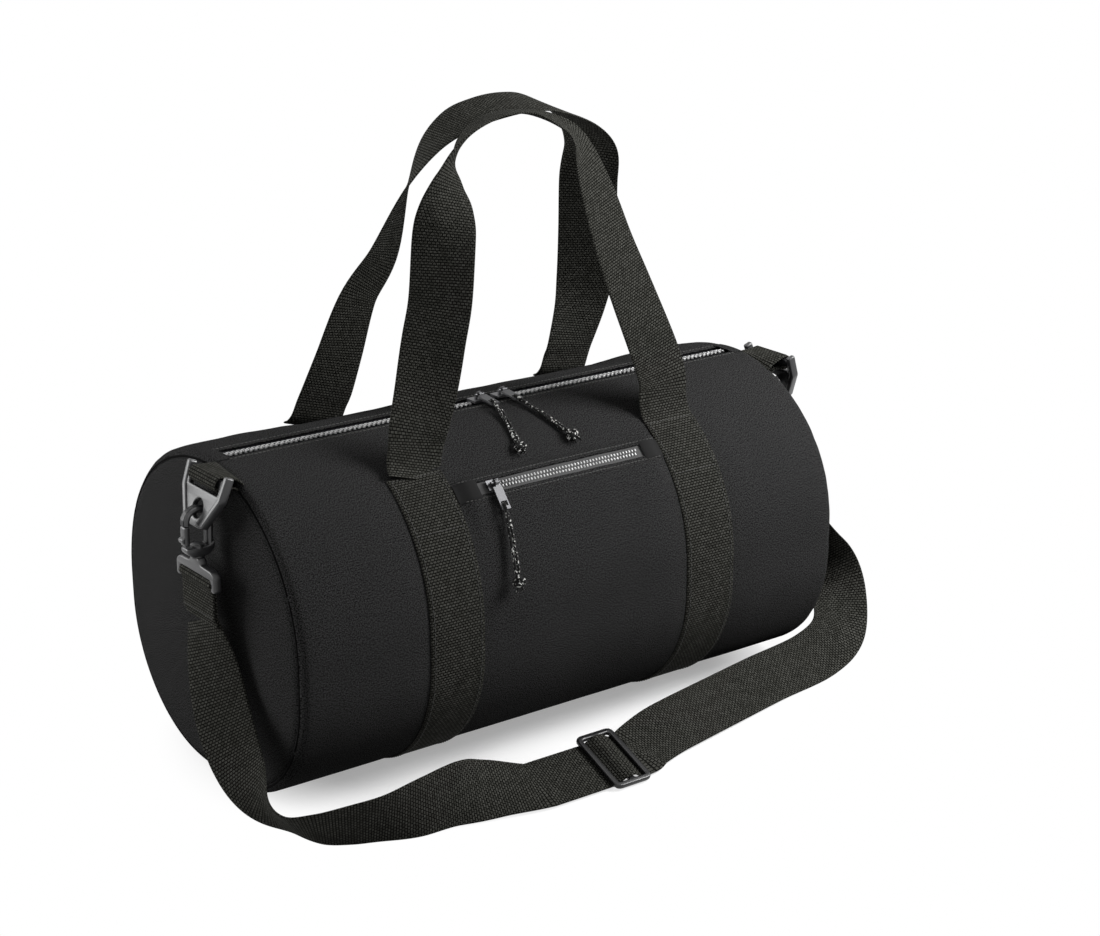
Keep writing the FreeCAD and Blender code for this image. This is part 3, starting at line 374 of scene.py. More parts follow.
# Handles: x, z and the turn of the webbing in degrees
FRONT_HANDLE = [(-0.109, 0.262, -8), (-0.098, 0.290, -20), (-0.087, 0.322, -34), (-0.077, 0.350, -38),
                (-0.068, 0.391, -28), (-0.062, 0.414, 0), (-0.057, 0.432, 30), (-0.050, 0.449, 55),
                (-0.035, 0.464, 75), (-0.012, 0.474, 88), (0.010, 0.475, 95), (0.030, 0.470, 106),
                (0.050, 0.461, 120), (0.065, 0.444, 142), (0.076, 0.409, 158), (0.087, 0.367, 166),
                (0.098, 0.333, 172), (0.114, 0.285, 178), (0.1195, 0.262, 180)]
REAR_HANDLE = [(-0.109, 0.262, 0), (-0.101, 0.288, 6), (-0.088, 0.332, 16), (-0.068, 0.364, 24),
               (-0.052, 0.413, 48), (-0.033, 0.446, 70), (-0.008, 0.464, 86), (0.018, 0.471, 90),
               (0.045, 0.473, 90), (0.070, 0.469, 88), (0.103, 0.453, 80), (0.122, 0.430, 64),
               (0.124, 0.401, 42), (0.129, 0.358, 34), (0.132, 0.320, 26), (0.131, 0.294, 12),
               (0.125, 0.262, 0)]
HANDLE_FOOT = [(0.0665, 0.2365), (0.0640, 0.2470)]
HANDLE_FOOT_ANGLE = 2.0
HANDLE_FOOT_SHARES = [0.05, 0.14, 0.33, 0.64]
HANDLE_LEAN_Y = 0.063
HANDLE_LEAN_Z = 0.262
FRONT_LEAN_SLOPE = 0.19
REAR_LEAN_SLOPE = 0.175
HANDLE_STEPS = 8

# Thread; a stitch has shares of its length and of its radius
STITCH_PITCH = 0.0034
STITCH_LENGTH = 0.0026
STITCH_RADIUS = 0.00038
STITCH_PROFILE = [(0.0, 0.25), (0.15, 0.85), (0.5, 1.0), (0.85, 0.85), (1.0, 0.25)]
STITCH_SIDES = 6
STITCH_LIFT_SHARE = 0.3
STITCH_LIFT = STITCH_RADIUS * STITCH_LIFT_SHARE
STRIP_THREAD_TOP = 0.002
STRIP_THREAD_INSET = 0.0032
STRIP_THREAD_STOP = 0.06
HEM_THREAD_END = 0.012
HEM_THREAD_INSET = 0.0042

# View, as fitted to the photograph
CAMERA_AT = (-0.9981, -1.4156, 0.7674)
CAMERA_TO = (0.0571, 0.0, 0.1824)
CAMERA_LENS = 76.22
SENSOR = 36.0

# Studio
FLOOR_COLOUR = (0.45, 0.45, 0.45)
FLOOR_HALF = 6.0
FLOOR_SHADE_X = 0.25
FLOOR_SHADE_Y = 0.20
FLOOR_NEAR_SHARE = 0.75
FLOOR_FAR_SHARE = 1.15
FLOOR_GLOW = 0.34
FLOOR_SHADE = 0.68
WORLD_LIGHT = 0.085
LIGHTS = [("key", (0.80, -0.58, 0.85), (0.05, 0.0, 0.14), (0.6, 0.6), 23.0),
          ("left", (-1.15, 0.75, 0.65), (-0.24, 0.0, 0.15), (1.1, 1.1), 19.0),
          ("fill", (-0.90, -1.30, 0.90), (0.0, 0.0, 0.18), (0.8, 0.8), 3.0),
          ("top", (-0.10, 0.45, 1.80), (0.0, 0.0, 0.20), (1.2, 1.0), 8.0)]

# Directions, and names with the signs of sides and ends
X_AXIS = Vector((1, 0, 0))
Y_AXIS = Vector((0, 1, 0))
Z_AXIS = Vector((0, 0, 1))
SIDES = (("front", -1), ("rear", 1))
ENDS = (("left", -1), ("right", 1))


# Plain helpers

def smooth_step(low, high, value):
    t = min(max((value - low) / (high - low), 0.0), 1.0)
    return t * t * (3 - 2 * t)


def spread(low, high, count):
    """Evenly spaced values from low to high."""
    return [low + (high - low) * k / count for k in range(count + 1)]


def ripple(*place):
    """Smooth noise at a place."""
    return noise.noise(Vector(place))


def mirrored(points):
    """A closed outline from its half at positive x."""
    return points + [(-x, y) for x, y in reversed(points)]


def on_body(x, angle, offset, side=-1):
    """A point beside the upper round, angle from the top, side -1 is the front."""
    turn = math.radians(angle)
    reach = BAG_RADIUS + offset
    return Vector((x, side * reach * math.sin(turn), MIDDLE_Z + reach * math.cos(turn)))


def swell(run, side):
    """How far the slack rear of the bag stands out behind its plain outline."""
    if side < 0:
        return 0.0
    return REAR_SWELL * smooth_step(0.0, REAR_SWELL_RUN, run) * smooth_step(GIRTH - CORNER_Y, ROUND_RUN, run)


def girth(run, side):
    """Place and outward direction on the outline, at a run from the top down one side."""
    extra = swell(run, side)
    if run < ROUND_RUN:
        turn = run / BAG_RADIUS
        out = Vector((0, side * math.sin(turn), math.cos(turn)))
        return Vector((0, 0, MIDDLE_Z)) + out * (BAG_RADIUS + extra), out
    run -= ROUND_RUN
    if run < SIDE_RUN:
        return Vector((0, side * (BAG_RADIUS + extra), MIDDLE_Z - run)), Vector((0, side, 0))
    run -= SIDE_RUN
    if run < CORNER_RUN:
        turn = math.pi / 2 + run / BASE_CORNER_RADIUS
        out = Vector((0, side * math.sin(turn), math.cos(turn)))
        return Vector((0, side * CORNER_Y, CORNER_Z)) + out * (BASE_CORNER_RADIUS + extra), out
    run -= CORNER_RUN
    return Vector((0, side * (CORNER_Y - run), BASE_Z)), Vector((0, 0, -1))


def run_of(angle):
    return math.radians(angle) * BAG_RADIUS


def spline(points, steps):
    """Points of a smooth line through the given ones."""
    points = [Vector(p) for p in points]
    first = points[0] * 2 - points[1]
    last = points[-1] * 2 - points[-2]
    whole = [first] + points + [last]
    line = []
    for i in range(1, len(whole) - 2):
        a, b, c, d = whole[i - 1:i + 3]
        for k in range(steps):
            t = k / steps
            line.append(0.5 * (2 * b + (c - a) * t + (2 * a - 5 * b + 4 * c - d) * t ** 2
                               + (3 * b - a - 3 * c + d) * t ** 3))
    return line + [points[-1]]


def line_ways(line):
    """Unit directions along a line at each of its points."""
    last = len(line) - 1
    return [(line[min(i + 1, last)] - line[max(i - 1, 0)]).normalized() for i in range(len(line))]


def add_object(name, data):
    made = bpy.data.objects.new(name, data)
    bpy.context.collection.objects.link(made)
    return made


def finished_mesh(thing):
    """A mesh of a curve object as it is drawn."""
    bpy.context.view_layer.update()
    return bpy.data.meshes.new_from_object(thing.evaluated_get(bpy.context.evaluated_depsgraph_get()))


def fix_normals(mesh, weld=0.0):
    """Turn all faces outwards, after joining points that lie within the weld distance."""
    work = bmesh.new()
    work.from_mesh(mesh)
    if weld:
        bmesh.ops.remove_doubles(work, verts=work.verts, dist=weld)
    bmesh.ops.recalc_face_normals(work, faces=work.faces)
    work.to_mesh(mesh)
    work.free()


def mesh_object(name, verts, faces, material, uvs=None, smooth=True):
    mesh = bpy.data.meshes.new(name)
    mesh.from_pydata([tuple(v) for v in verts], [], faces)
    if uvs is not None:
        layer = mesh.uv_layers.new(name="UVMap")
        for loop in mesh.loops:
            layer.data[loop.index].uv = uvs[loop.vertex_index]
    mesh.polygons.foreach_set("use_smooth", [smooth] * len(mesh.polygons))
    piece = add_object(name, mesh)
    mesh.materials.append(material)
    fix_normals(mesh)
    return piece


def grid_faces(rows, columns, closed=False):
    faces = []
    span = columns if closed else columns - 1
    for r in range(rows - 1):
        for c in range(span):
            d = (c + 1) % columns
            faces.append((r * columns + c, r * columns + d, (r + 1) * columns + d, (r + 1) * columns + c))
    return faces


def pipe_faces(rings, sides):
    """Faces of a closed pipe: its wall and both flat ends."""
    ends = [tuple(range(sides)), tuple(range((rings - 1) * sides, rings * sides))]
    return grid_faces(rings, sides, True) + ends


def circle_points(middle, first, second, radius, sides):
    """Points of a circle in the plane of two directions."""
    points = []
    for k in range(sides):
        turn = math.tau * k / sides
        points.append(middle + (first * math.cos(turn) + second * math.sin(turn)) * radius)
    return points


def ride_slot(piece, body, slot, *nodes):
    """Put a piece on its body and hide the nodes it stands for; the record slot is not used."""
    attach(piece, body)
    if nodes:
        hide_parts(*nodes)
    return piece


def paint(node, material, edge=0.0):
    """A finish, and softened edges, for a piece kept from the CAD frame."""
    piece = frame["nodes"][node]
    piece.data.materials.clear()
    piece.data.materials.append(material)
    if edge:
        bevel = piece.modifiers.new("edge", "BEVEL")
        bevel.width = edge
        bevel.segments = 2
        bevel.limit_method = "ANGLE"


# Materials

def grey(level):
    return (level, level, level)


def set_inputs(node, **values):
    """Set a node's inputs by their names, with _ for a space."""
    for name, value in values.items():
        node.inputs[name.replace("_", " ")].default_value = value


def new_material(name, colour, roughness, **sockets):
    """A principled material; returns it with its node tree and shader."""
    made = bpy.data.materials.new(name)
    made.use_nodes = True
    tree = made.node_tree
    shader = tree.nodes["Principled BSDF"]
    set_inputs(shader, Base_Color=(*colour, 1.0), Roughness=roughness, **sockets)
    return made, tree, shader


def link(source, target):
    """Join two sockets of one node tree."""
    source.id_data.links.new(source, target)


def add_node(tree, kind, **values):
    node = tree.nodes.new(kind)
    for key, value in values.items():
        setattr(node, key, value)
    return node


def scaled_place(tree, output, scale=(1.0, 1.0, 1.0)):
    """Texture coordinates in metres times a scale per axis."""
    source = add_node(tree, "ShaderNodeTexCoord")
    mapping = add_node(tree, "ShaderNodeMapping")
    set_inputs(mapping, Scale=scale)
    link(source.outputs[output], mapping.inputs["Vector"])
    return mapping.outputs["Vector"]


def noise_value(tree, vector, scale, detail=2.0, roughness=0.5):
    node = add_node(tree, "ShaderNodeTexNoise")
    set_inputs(node, Scale=scale, Detail=detail, Roughness=roughness)
    link(vector, node.inputs["Vector"])
    return node.outputs["Fac"]


def colour_ramp(tree, value, low, high, dark, light):
    """Two colours over a range of a value."""
    ramp = add_node(tree, "ShaderNodeValToRGB")
    for element, position, colour in zip(ramp.color_ramp.elements, (low, high), (dark, light)):
        element.position = position
        element.color = (*colour, 1.0)
    link(value, ramp.inputs["Fac"])
    return ramp.outputs["Color"]


def add_bump(tree, shader, height, distance, strength=1.0, chain=None):
    bump = add_node(tree, "ShaderNodeBump")
    set_inputs(bump, Distance=distance, Strength=strength)
    link(height, bump.inputs["Height"])
    if chain is not None:
        link(chain, bump.inputs["Normal"])
    link(bump.outputs["Normal"], shader.inputs["Normal"])
    return bump.outputs["Normal"]


def canvas_material():
    """Fine matt canvas with a grain of single threads."""
    made, tree, shader = new_material("canvas", grey(0.030), 0.95, Specular_IOR_Level=0.0)
    threads = noise_value(tree, scaled_place(tree, "UV", CANVAS_WAVES), 1.0, 3.0, 0.8)
    tint = colour_ramp(tree, threads, 0.43, 0.57, grey(0.002), grey(0.043))
    link(tint, shader.inputs["Base Color"])
    add_bump(tree, shader, threads, GRAIN_DEPTH, 0.4)
    return made


def across_first(tree):
    """Texture coordinates of a band with its width first and its length second."""
    source = add_node(tree, "ShaderNodeTexCoord")
    parts = add_node(tree, "ShaderNodeSeparateXYZ")
    turned = add_node(tree, "ShaderNodeCombineXYZ")
    link(source.outputs["UV"], parts.inputs["Vector"])
    link(parts.outputs["Y"], turned.inputs["X"])
    link(parts.outputs["X"], turned.inputs["Y"])
    return turned.outputs["Vector"]


def webbing_material():
    """Ribbed webbing: short offset yarns that lie across the band."""
    made, tree, shader = new_material("webbing", (0.030, 0.030, 0.027), 0.9, Specular_IOR_Level=0.03)
    bricks = add_node(tree, "ShaderNodeTexBrick", offset=0.5)
    set_inputs(bricks, Scale=1.0, Brick_Width=YARN_LENGTH, Row_Height=YARN_PITCH, Mortar_Size=YARN_GAP,
               Mortar_Smooth=0.7, Color1=(0.059, 0.059, 0.0525, 1.0), Color2=(0.033, 0.033, 0.0285, 1.0),
               Mortar=(0.0045, 0.0045, 0.0038, 1.0))
    link(across_first(tree), bricks.inputs["Vector"])
    link(bricks.outputs["Color"], shader.inputs["Base Color"])
    raised = add_node(tree, "ShaderNodeMath", operation="SUBTRACT")
    raised.inputs[0].default_value = 1.0
    link(bricks.outputs["Fac"], raised.inputs[1])
    chain = add_bump(tree, shader, raised.outputs["Value"], YARN_DEPTH, 1.0)
    fibres = noise_value(tree, scaled_place(tree, "UV", FIBRE_WAVES), 1.0, 1.0)
    add_bump(tree, shader, fibres, GRAIN_DEPTH, 0.5, chain)
    return made


def plain_cloth(name, colour, roughness, scale):
    made, tree, shader = new_material(name, colour, roughness, Specular_IOR_Level=0.03)
    grain = noise_value(tree, scaled_place(tree, "Object"), scale)
    add_bump(tree, shader, grain, GRAIN_DEPTH, 0.5)
    return made


def moulded_material(name, colour, roughness, specular):
    """Moulded plastic with a faint grain."""
    made, tree, shader = new_material(name, colour, roughness, Specular_IOR_Level=specular)
    grain = noise_value(tree, scaled_place(tree, "Object"), MOULD_WAVES)
    add_bump(tree, shader, grain, FINE_DEPTH, 0.35)
    return made


def metal_material(name, colour, roughness):
    """Dark coated metal with fine brush lines."""
    made, tree, shader = new_material(name, colour, roughness, Metallic=1.0)
    lines = noise_value(tree, scaled_place(tree, "Object", BRUSH_WAVES), 1.0)
    add_bump(tree, shader, lines, FINE_DEPTH, 0.5)
    return made


def cord_material():
    """Black braid with small pale flecks."""
    made, tree, shader = new_material("cord", grey(0.02), 0.8, Specular_IOR_Level=0.1)
    flecks = noise_value(tree, scaled_place(tree, "Object"), FLECK_WAVES, 0.0)
    tint = colour_ramp(tree, flecks, 0.63, 0.67, grey(0.012), (0.50, 0.50, 0.48))
    link(tint, shader.inputs["Base Color"])
    braid = noise_value(tree, scaled_place(tree, "Object"), BRAID_WAVES, 1.0)
    add_bump(tree, shader, braid, BRAID_DEPTH, 0.8)
    return made


CANVAS = canvas_material()
WEBBING = webbing_material()
BINDING = plain_cloth("binding", grey(0.017), 0.85, 1500.0)
ZIP_TAPE = plain_cloth("zip_tape", (0.008, 0.008, 0.009), 0.8, 2200.0)
POCKET_TAPE = plain_cloth("pocket_tape", grey(0.080), 0.8, 1800.0)
THREAD = plain_cloth("thread", (0.075, 0.075, 0.072), 0.6, 3000.0)
# Near-black painted shade, for the end seams' grooves and the middles of the main zip's teeth
PAINTED_SHADE = plain_cloth("painted_shade", grey(0.002), 0.9, 1500.0)
# Light grey for black plastic teeth and coil: painted highlight
HIGHLIT_TEETH = moulded_material("zip_teeth", grey(0.34), 0.25, 0.8)
HIGHLIT_COIL = moulded_material("zip_coil", grey(0.36), 0.3, 0.7)
PLASTIC = moulded_material("clip_plastic", (0.016, 0.016, 0.017), 0.33, 0.62)
ADJUSTER_PLASTIC = moulded_material("adjuster_plastic", (0.007, 0.007, 0.0075), 0.32, 0.42)
SLIDER_METAL = metal_material("slider_metal", (0.10, 0.10, 0.104), 0.42)
PULL_METAL = metal_material("pull_metal", (0.085, 0.085, 0.088), 0.52)
CORD = cord_material()


# Cloth body

def puff(x, run, side):
    """How far the cloth stands out of the plain outline."""
    away = abs(x)
    if away > STRIP_OUT:
        share = (away - STRIP_OUT) / (HALF_LENGTH - STRIP_OUT)
        bulge = PUFF_END * math.sin(math.pi * min(share, 1.0)) ** PUFF_END_POWER
    elif away < STRIP_IN:
        bulge = PUFF_MIDDLE * math.cos(away / STRIP_IN * math.pi / 2)
    else:
        bulge = 0.0
    free = smooth_step(0.0, STRIP_EASE, abs(away - STRIP_X) - WEBBING_WIDTH / 2)
    low = smooth_step(*[ROUND_RUN + SIDE_RUN + CORNER_RUN * share for share in PUFF_LOW_SHARES], run)
    high = smooth_step(*(PUFF_CORD if side < 0 and away > STRIP_OUT else PUFF_TOP), run)
    along, down = FOLD_WAVES
    folds = FOLD_SIZE * ripple(x * along, run * down + side * FOLD_SHIFTS[0], FOLD_SHIFTS[1])
    along, slant, down, lean = SMALL_FOLD_WAVES
    small = ripple(x * along + run * slant, run * down - x * lean, SMALL_FOLD_SHIFT + side)
    folds += SMALL_FOLD_SHARE * FOLD_SIZE * small
    near_end = math.exp(-(HALF_LENGTH - away) / PUCKER_FADE)
    shift = math.copysign(PUCKER_SHIFTS[1], x)
    pucker = PUCKER_SIZE * near_end * ripple(run * PUCKER_WAVES, side * PUCKER_SHIFTS[0], shift)
    return (bulge + folds * free) * low * high + pucker * low * high


def draped(name, runs, places, side, height, material):
    """A cloth on the body, in rows by run and columns by x; height says how far a point is lifted."""
    verts, uvs = [], []
    for r, run in enumerate(runs):
        spot, out = girth(run, side)
        for c, x in enumerate(places):
            verts.append(spot + out * (height(r, c) + puff(x, run, side)) + X_AXIS * x)
            uvs.append((x, run))
    return mesh_object(name, verts, grid_faces(len(runs), len(places)), material, uvs)


def cloth_panel(name, side, node):
    """One body panel: a hem at the zip, the round, the base and a roll into each end seam."""
    straight = HALF_LENGTH - END_ROLL
    columns = [(x, 0.0) for x in spread(-straight, straight, CLOTH_COLUMNS)]
    for turn in spread(0.0, math.pi / 2, ROLL_STEPS)[1:]:
        x, inset = straight + END_ROLL * math.sin(turn), END_ROLL * (1 - math.cos(turn))
        columns = [(-x, inset)] + columns + [(x, inset)]
    deep, shallow = (HEM_DEPTH * share for share in HEM_EDGE_SHARES)
    start = HEM_RUN + HEM_DEPTH
    rows = [(HEM_RUN + HEM_TURN, -HEM_DEPTH), (start, -HEM_DEPTH), (HEM_RUN, -deep), (HEM_RUN, -shallow),
            (HEM_RUN + deep, 0.0)]
    rows += [(run, 0.0) for run in spread(start, GIRTH, CLOTH_ROWS)[1:]]

    def height(r, c):
        return rows[r][1] - columns[c][1]

    piece = draped(name, [run for run, sink in rows], [x for x, inset in columns], side, height, CANVAS)
    return ride_slot(piece, "bag", "canvas", node)


def outline_point(share):
    """Place and outward direction all round the body, share 0 at the top, going by the front."""
    share = share % 1.0
    if share < 0.5:
        return girth(share * 2 * GIRTH, -1)
    return girth((1 - share) * 2 * GIRTH, 1)


def end_disc(name, end, node):
    """A round end that bulges a little and rolls into the seam."""
    verts, uvs = [], []
    rim_inset, rim_x = DISC_RIM[-1]
    end_shift, rim_shift = DISC_PUCKER_SHIFTS
    middle = Vector((0, 0, MIDDLE_Z - DISC_DROP))
    rings = [(inset, x, 0.0) for inset, x in DISC_RIM]
    rings += [(rim_inset, rim_x, k / DISC_RINGS) for k in range(1, DISC_RINGS)]
    for inset, x, inward in rings:
        for j in range(DISC_STEPS):
            spot, out = outline_point(j / DISC_STEPS)
            place = (spot - out * inset).lerp(middle, inward)
            bulge = DOME * (1 - (1 - inward) ** DOME_POWER)
            for size, across, up, shift, rise in DISC_FOLDS:
                bulge += size * ripple(place.y * across, place.z * up, end * shift) * min(1, inward * rise)
            pucker = DISC_PUCKER * ripple(j * DISC_PUCKER_STEP, end * end_shift, rim_shift)
            verts.append(Vector((end * (x + bulge + pucker), place.y, place.z)))
            uvs.append((place.y, place.z))
    verts.append(Vector((end * (rim_x + DOME), middle.y, middle.z)))
    uvs.append((middle.y, middle.z))
    faces = grid_faces(len(rings), DISC_STEPS, True)
    last = (len(rings) - 1) * DISC_STEPS
    faces += [(last + j, last + (j + 1) % DISC_STEPS, len(verts) - 1) for j in range(DISC_STEPS)]
    piece = mesh_object(name, verts, faces, CANVAS, uvs)
    return ride_slot(piece, "bag", "canvas", node)


def seam_shade_line(name, end):
    """A near-black tube laid in the groove where an end is sewn to the body: painted shade for the seam's
    groove.
    """
    line = []
    for j in range(DISC_STEPS + 1):
        spot, out = outline_point(j / DISC_STEPS)
        line.append(spot - out * GROOVE_INSET + X_AXIS * (end * GROOVE_X))
    ride_slot(tube("seam_shade_line_" + name, line, GROOVE_RADIUS, PAINTED_SHADE, GROOVE_SIDES), "bag", "binding")


# Bands of webbing

def band(name, centres, acrosses, width, thickness, material=WEBBING, ways=None, length=0.0):
    """A flat band with soft edges along a line; its UV lengths are metres along and across."""
    ways = ways or line_ways(centres)
    edge = thickness * BAND_EDGE_SHARE
    half = width / 2
    left = [(-half + widths * edge, share) for widths, share in BAND_EDGE] + [(-half / 2, 1.0)]
    top = left + [(0.0, 1.0)] + [(-v, n) for v, n in reversed(left)]
    ring = top + [(v, -n) for v, n in reversed(top)]
    verts, uvs = [], []
    for i, centre in enumerate(centres):
        along = ways[i]
        face = along.cross(acrosses[i]).normalized()
        wide = face.cross(along).normalized()
        if i:
            length += (centre - centres[i - 1]).length
        for v, n in ring:
            verts.append(centre + wide * v + face * (n * thickness / 2))
            uvs.append((length, v))
    piece = mesh_object(name, verts, pipe_faces(len(centres), len(ring)), material, uvs)
    piece.data.set_sharp_from_angle(angle=math.radians(BAND_SHARP_ANGLE))
    return piece


def strip(name, side_x, node):
    """Webbing under the bag from the front stitching to the rear stitching."""
    runs = spread(run_of(STITCH_ANGLE), GIRTH, STRIP_ROWS)
    centres = []
    for run, side in [(run, -1) for run in runs] + [(run, 1) for run in runs[-2::-1]]:
        spot, out = girth(run, side)
        centres.append(spot + out * (WEBBING_THICKNESS / 2) + X_AXIS * side_x)
    piece = band(name, centres, [X_AXIS] * len(centres), WEBBING_WIDTH, WEBBING_THICKNESS)
    return ride_slot(piece, "bag", "webbing", node)


def handle_line(points, side, slope):
    """Centre line and directions across a handle, from foot to foot."""
    foot = []
    for angle in (STITCH_ANGLE + HANDLE_FOOT_ANGLE, STITCH_ANGLE):
        spot, out = girth(run_of(angle), side)
        spot = spot + out * (WEBBING_THICKNESS / 2)
        foot.append((spot.y, spot.z))
    lift = out * swell(run_of(STITCH_ANGLE), side)
    foot += [(side * y + lift.y, z + lift.z) for y, z in HANDLE_FOOT]

    def foot_spots(strip_x, leg_x):
        spots = []
        for (y, z), share in zip(foot, HANDLE_FOOT_SHARES):
            spots.append(Vector((strip_x + (leg_x - strip_x) * share, y, z)))
        return spots

    route = foot_spots(-STRIP_X, points[0][0])
    for x, z, turn in points:
        route.append(Vector((x, side * (HANDLE_LEAN_Y - (z - HANDLE_LEAN_Z) * slope), z)))
    route += foot_spots(STRIP_X, points[-1][0])[::-1]
    turns = [0.0] * len(foot) + [t for x, z, t in points] + [points[-1][2]] * len(foot)
    line = spline(route, HANDLE_STEPS)
    turn_line = spline([Vector((t, 0, 0)) for t in turns], HANDLE_STEPS)
    lean = Vector((0, 1, side * slope)).normalized()
    acrosses = []
    for along, turn in zip(line_ways(line), turn_line):
        flat = (lean - along * along.dot(lean)).normalized()
        twist = math.radians(turn.x)
        acrosses.append(flat.cross(along) * math.cos(twist) + flat * math.sin(twist))
    return line, acrosses


def handle(name, points, side, slope, node):
    """A handle that bends at its sewn foot."""
    line, acrosses = handle_line(points, side, slope)
    piece = band(name, line, acrosses, WEBBING_WIDTH, WEBBING_THICKNESS)
    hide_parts(node)
    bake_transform(piece)


# Shoulder strap

def strap_spot(x):
    """A point of the leaning stretch on the floor, the direction across it and the one out of it."""
    tilt = math.radians(STRAP_MIDDLE_TILT)
    across = Vector((0, math.cos(tilt), math.sin(tilt)))
    out = Vector((0, -math.sin(tilt), math.cos(tilt)))
    return Vector((x, STRAP_MIDDLE_Y, STRAP_MIDDLE_Z)), across, out


def strap_line(end):
    """Centre line and directions across the strap from a clip to the adjuster's stretch."""
    listed = STRAP_DROP if end < 0 else STRAP_RISE[::-1]
    middle, across, out = strap_spot(STRAP_MIDDLE_X[0] if end < 0 else STRAP_MIDDLE_X[1])
    floor_end = middle + out * STRAP_UNDER
    spots = [Vector((end * (CLIP_X - STRAP_LAYER), HARDWARE_Y, STRAP_END_Z))]
    spots += [Vector(spot) for spot, unused in listed] + [floor_end]
    directions = [Vector((0, end, 0))]
    directions += [Vector(direction) for unused, direction in listed] + [across]
    spots.append(floor_end - X_AXIS * end * STRAP_GUIDE)
    directions.append(across)
    return spline(spots, STRAP_STEPS)[:-STRAP_STEPS], spline(directions, STRAP_STEPS)[:-STRAP_STEPS]


def strap_side(end, name):
    """The strap from a clip to the floor, in four stretches; only the last rides on a body, the bag."""
    line, directions = strap_line(end)
    ways = line_ways(line)
    ways[-1] = -end * X_AXIS
    lengths = [0.0]
    for here, there in zip(line, line[1:]):
        lengths.append(lengths[-1] + (there - here).length)
    chain = ["swivel_" + name, "hook_" + name, "ring_" + name, "bag"]
    marks = STRAP_MARKS + [len(line) - 1]
    for k, body in enumerate(chain):
        part = slice(marks[k], marks[k + 1] + 1)
        spots = line[part]
        piece = band("strap_%s_%d" % (name, k), spots, directions[part], STRAP_WIDTH, WEBBING_THICKNESS,
                     ways=ways[part], length=lengths[marks[k]])
        if body == "bag":
            ride_slot(piece, "bag", "webbing")
        else:
            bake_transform(piece)
        if k == 0:
            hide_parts("strap_" + name)


def strap_end(end, name):
    """The strap's end round the bracket's bar, folded on itself and sewn."""
    x = end * CLIP_X
    neck_z = STRAP_BAR_Z - STRAP_LOOP_NECK
    spots = [Vector((x - end * STRAP_LAYER, HARDWARE_Y, z)) for z in (STRAP_END_Z, *STRAP_INNER_Z, neck_z)]
    for turn in spread(0.0, math.pi, LOOP_STEPS):
        bend = Vector((-end * math.cos(turn), 0, math.sin(turn)))
        spots.append(Vector((x, HARDWARE_Y, STRAP_BAR_Z)) + bend * STRAP_LOOP_RADIUS)
    spots += [Vector((x + end * STRAP_LAP, HARDWARE_Y, z)) for z in (neck_z, *STRAP_LAP_Z)]
    line = spline(spots, STRAP_END_STEPS)
    piece = band("strap_end_cloth_" + name, line, [-Y_AXIS] * len(line), STRAP_WIDTH, WEBBING_THICKNESS)
    ride_slot(piece, "swivel_" + name, "webbing", "strap_end_" + name)
    half = STRAP_WIDTH * STRAP_THREAD_SHARE
    row = []
    for y in spread(HARDWARE_Y - half, HARDWARE_Y + half, STRAP_THREAD_STEPS):
        row.append((Vector((x + end * STRAP_THREAD_LIFT, y, STRAP_THREAD_Z)), Vector((end, 0, 0))))
    ride_slot(stitches("strap_end_thread_" + name, [row]), "swivel_" + name, "webbing")


def strap_floor():
    """The stretch through the adjuster: under its rails and over its middle bar."""
    over = -STRAP_UNDER
    rail = ADJUSTER_LENGTH / 2 - ADJUSTER_RAIL - ADJUSTER_CLEAR
    bar = ADJUSTER_BAR / 2 + WEBBING_THICKNESS
    at_rail, at_bar, at_middle = STRAP_FLOOR_SHARES
    right = [(bar, over * at_bar), (rail, STRAP_UNDER * at_rail), (rail + STRAP_FLOOR_EASE, STRAP_UNDER)]
    run = [(STRAP_MIDDLE_X[0] - ADJUSTER_X, STRAP_UNDER)] + [(-x, z) for x, z in reversed(right)]
    run += [(0.0, over * at_middle)] + right + [(STRAP_MIDDLE_X[1] - ADJUSTER_X, STRAP_UNDER)]
    spots = []
    for x, z in run:
        middle, across, out = strap_spot(ADJUSTER_X + x)
        spots.append(middle + out * z)
    line = spline(spots, STRAP_FLOOR_STEPS)
    piece = band("strap_floor", line, [across] * len(line), STRAP_WIDTH, WEBBING_THICKNESS)
    ride_slot(piece, "bag", "webbing", "strap_middle")


# Plates cut from an outline, and round bars

def rounded(points, radius, steps=5):
    """A closed outline with its corners rounded."""
    outline = []
    count = len(points)
    for i, point in enumerate(points):
        spot = Vector(point)
        before = Vector(points[i - 1]) - spot
        after = Vector(points[(i + 1) % count]) - spot
        reach = min(radius, before.length * CORNER_SHARE, after.length * CORNER_SHARE)
        start = spot + before.normalized() * reach
        end = spot + after.normalized() * reach
        for k in range(steps + 1):
            t = k / steps
            outline.append(start * (1 - t) ** 2 + spot * 2 * t * (1 - t) + end * t ** 2)
    return outline


def plate(name, outlines, size, placement, material=PLASTIC):
    """A plate from outlines, holes included, with rounded edges, put in place by a matrix."""
    thickness, edge = size
    curve = bpy.data.curves.new(name, "CURVE")
    curve.dimensions = "2D"
    curve.fill_mode = "BOTH"
    curve.extrude = thickness / 2 - edge
    curve.bevel_depth = edge
    curve.bevel_resolution = 2
    curve.offset = -edge
    for outline in outlines:
        path = curve.splines.new("POLY")
        path.points.add(len(outline) - 1)
        for point, spot in zip(path.points, outline):
            point.co = (spot[0], spot[1], 0, 1)
        path.use_cyclic_u = True
    holder = add_object(name + "_outline", curve)
    mesh = finished_mesh(holder)
    bpy.data.objects.remove(holder)
    mesh.transform(placement)
    piece = add_object(name, mesh)
    mesh.materials.clear()
    mesh.materials.append(material)
    fix_normals(mesh, WELD_DISTANCE)
    mesh.polygons.foreach_set("use_smooth", [True] * len(mesh.polygons))
    mesh.set_sharp_from_angle(angle=math.radians(PLATE_SHARP_ANGLE))
    return piece


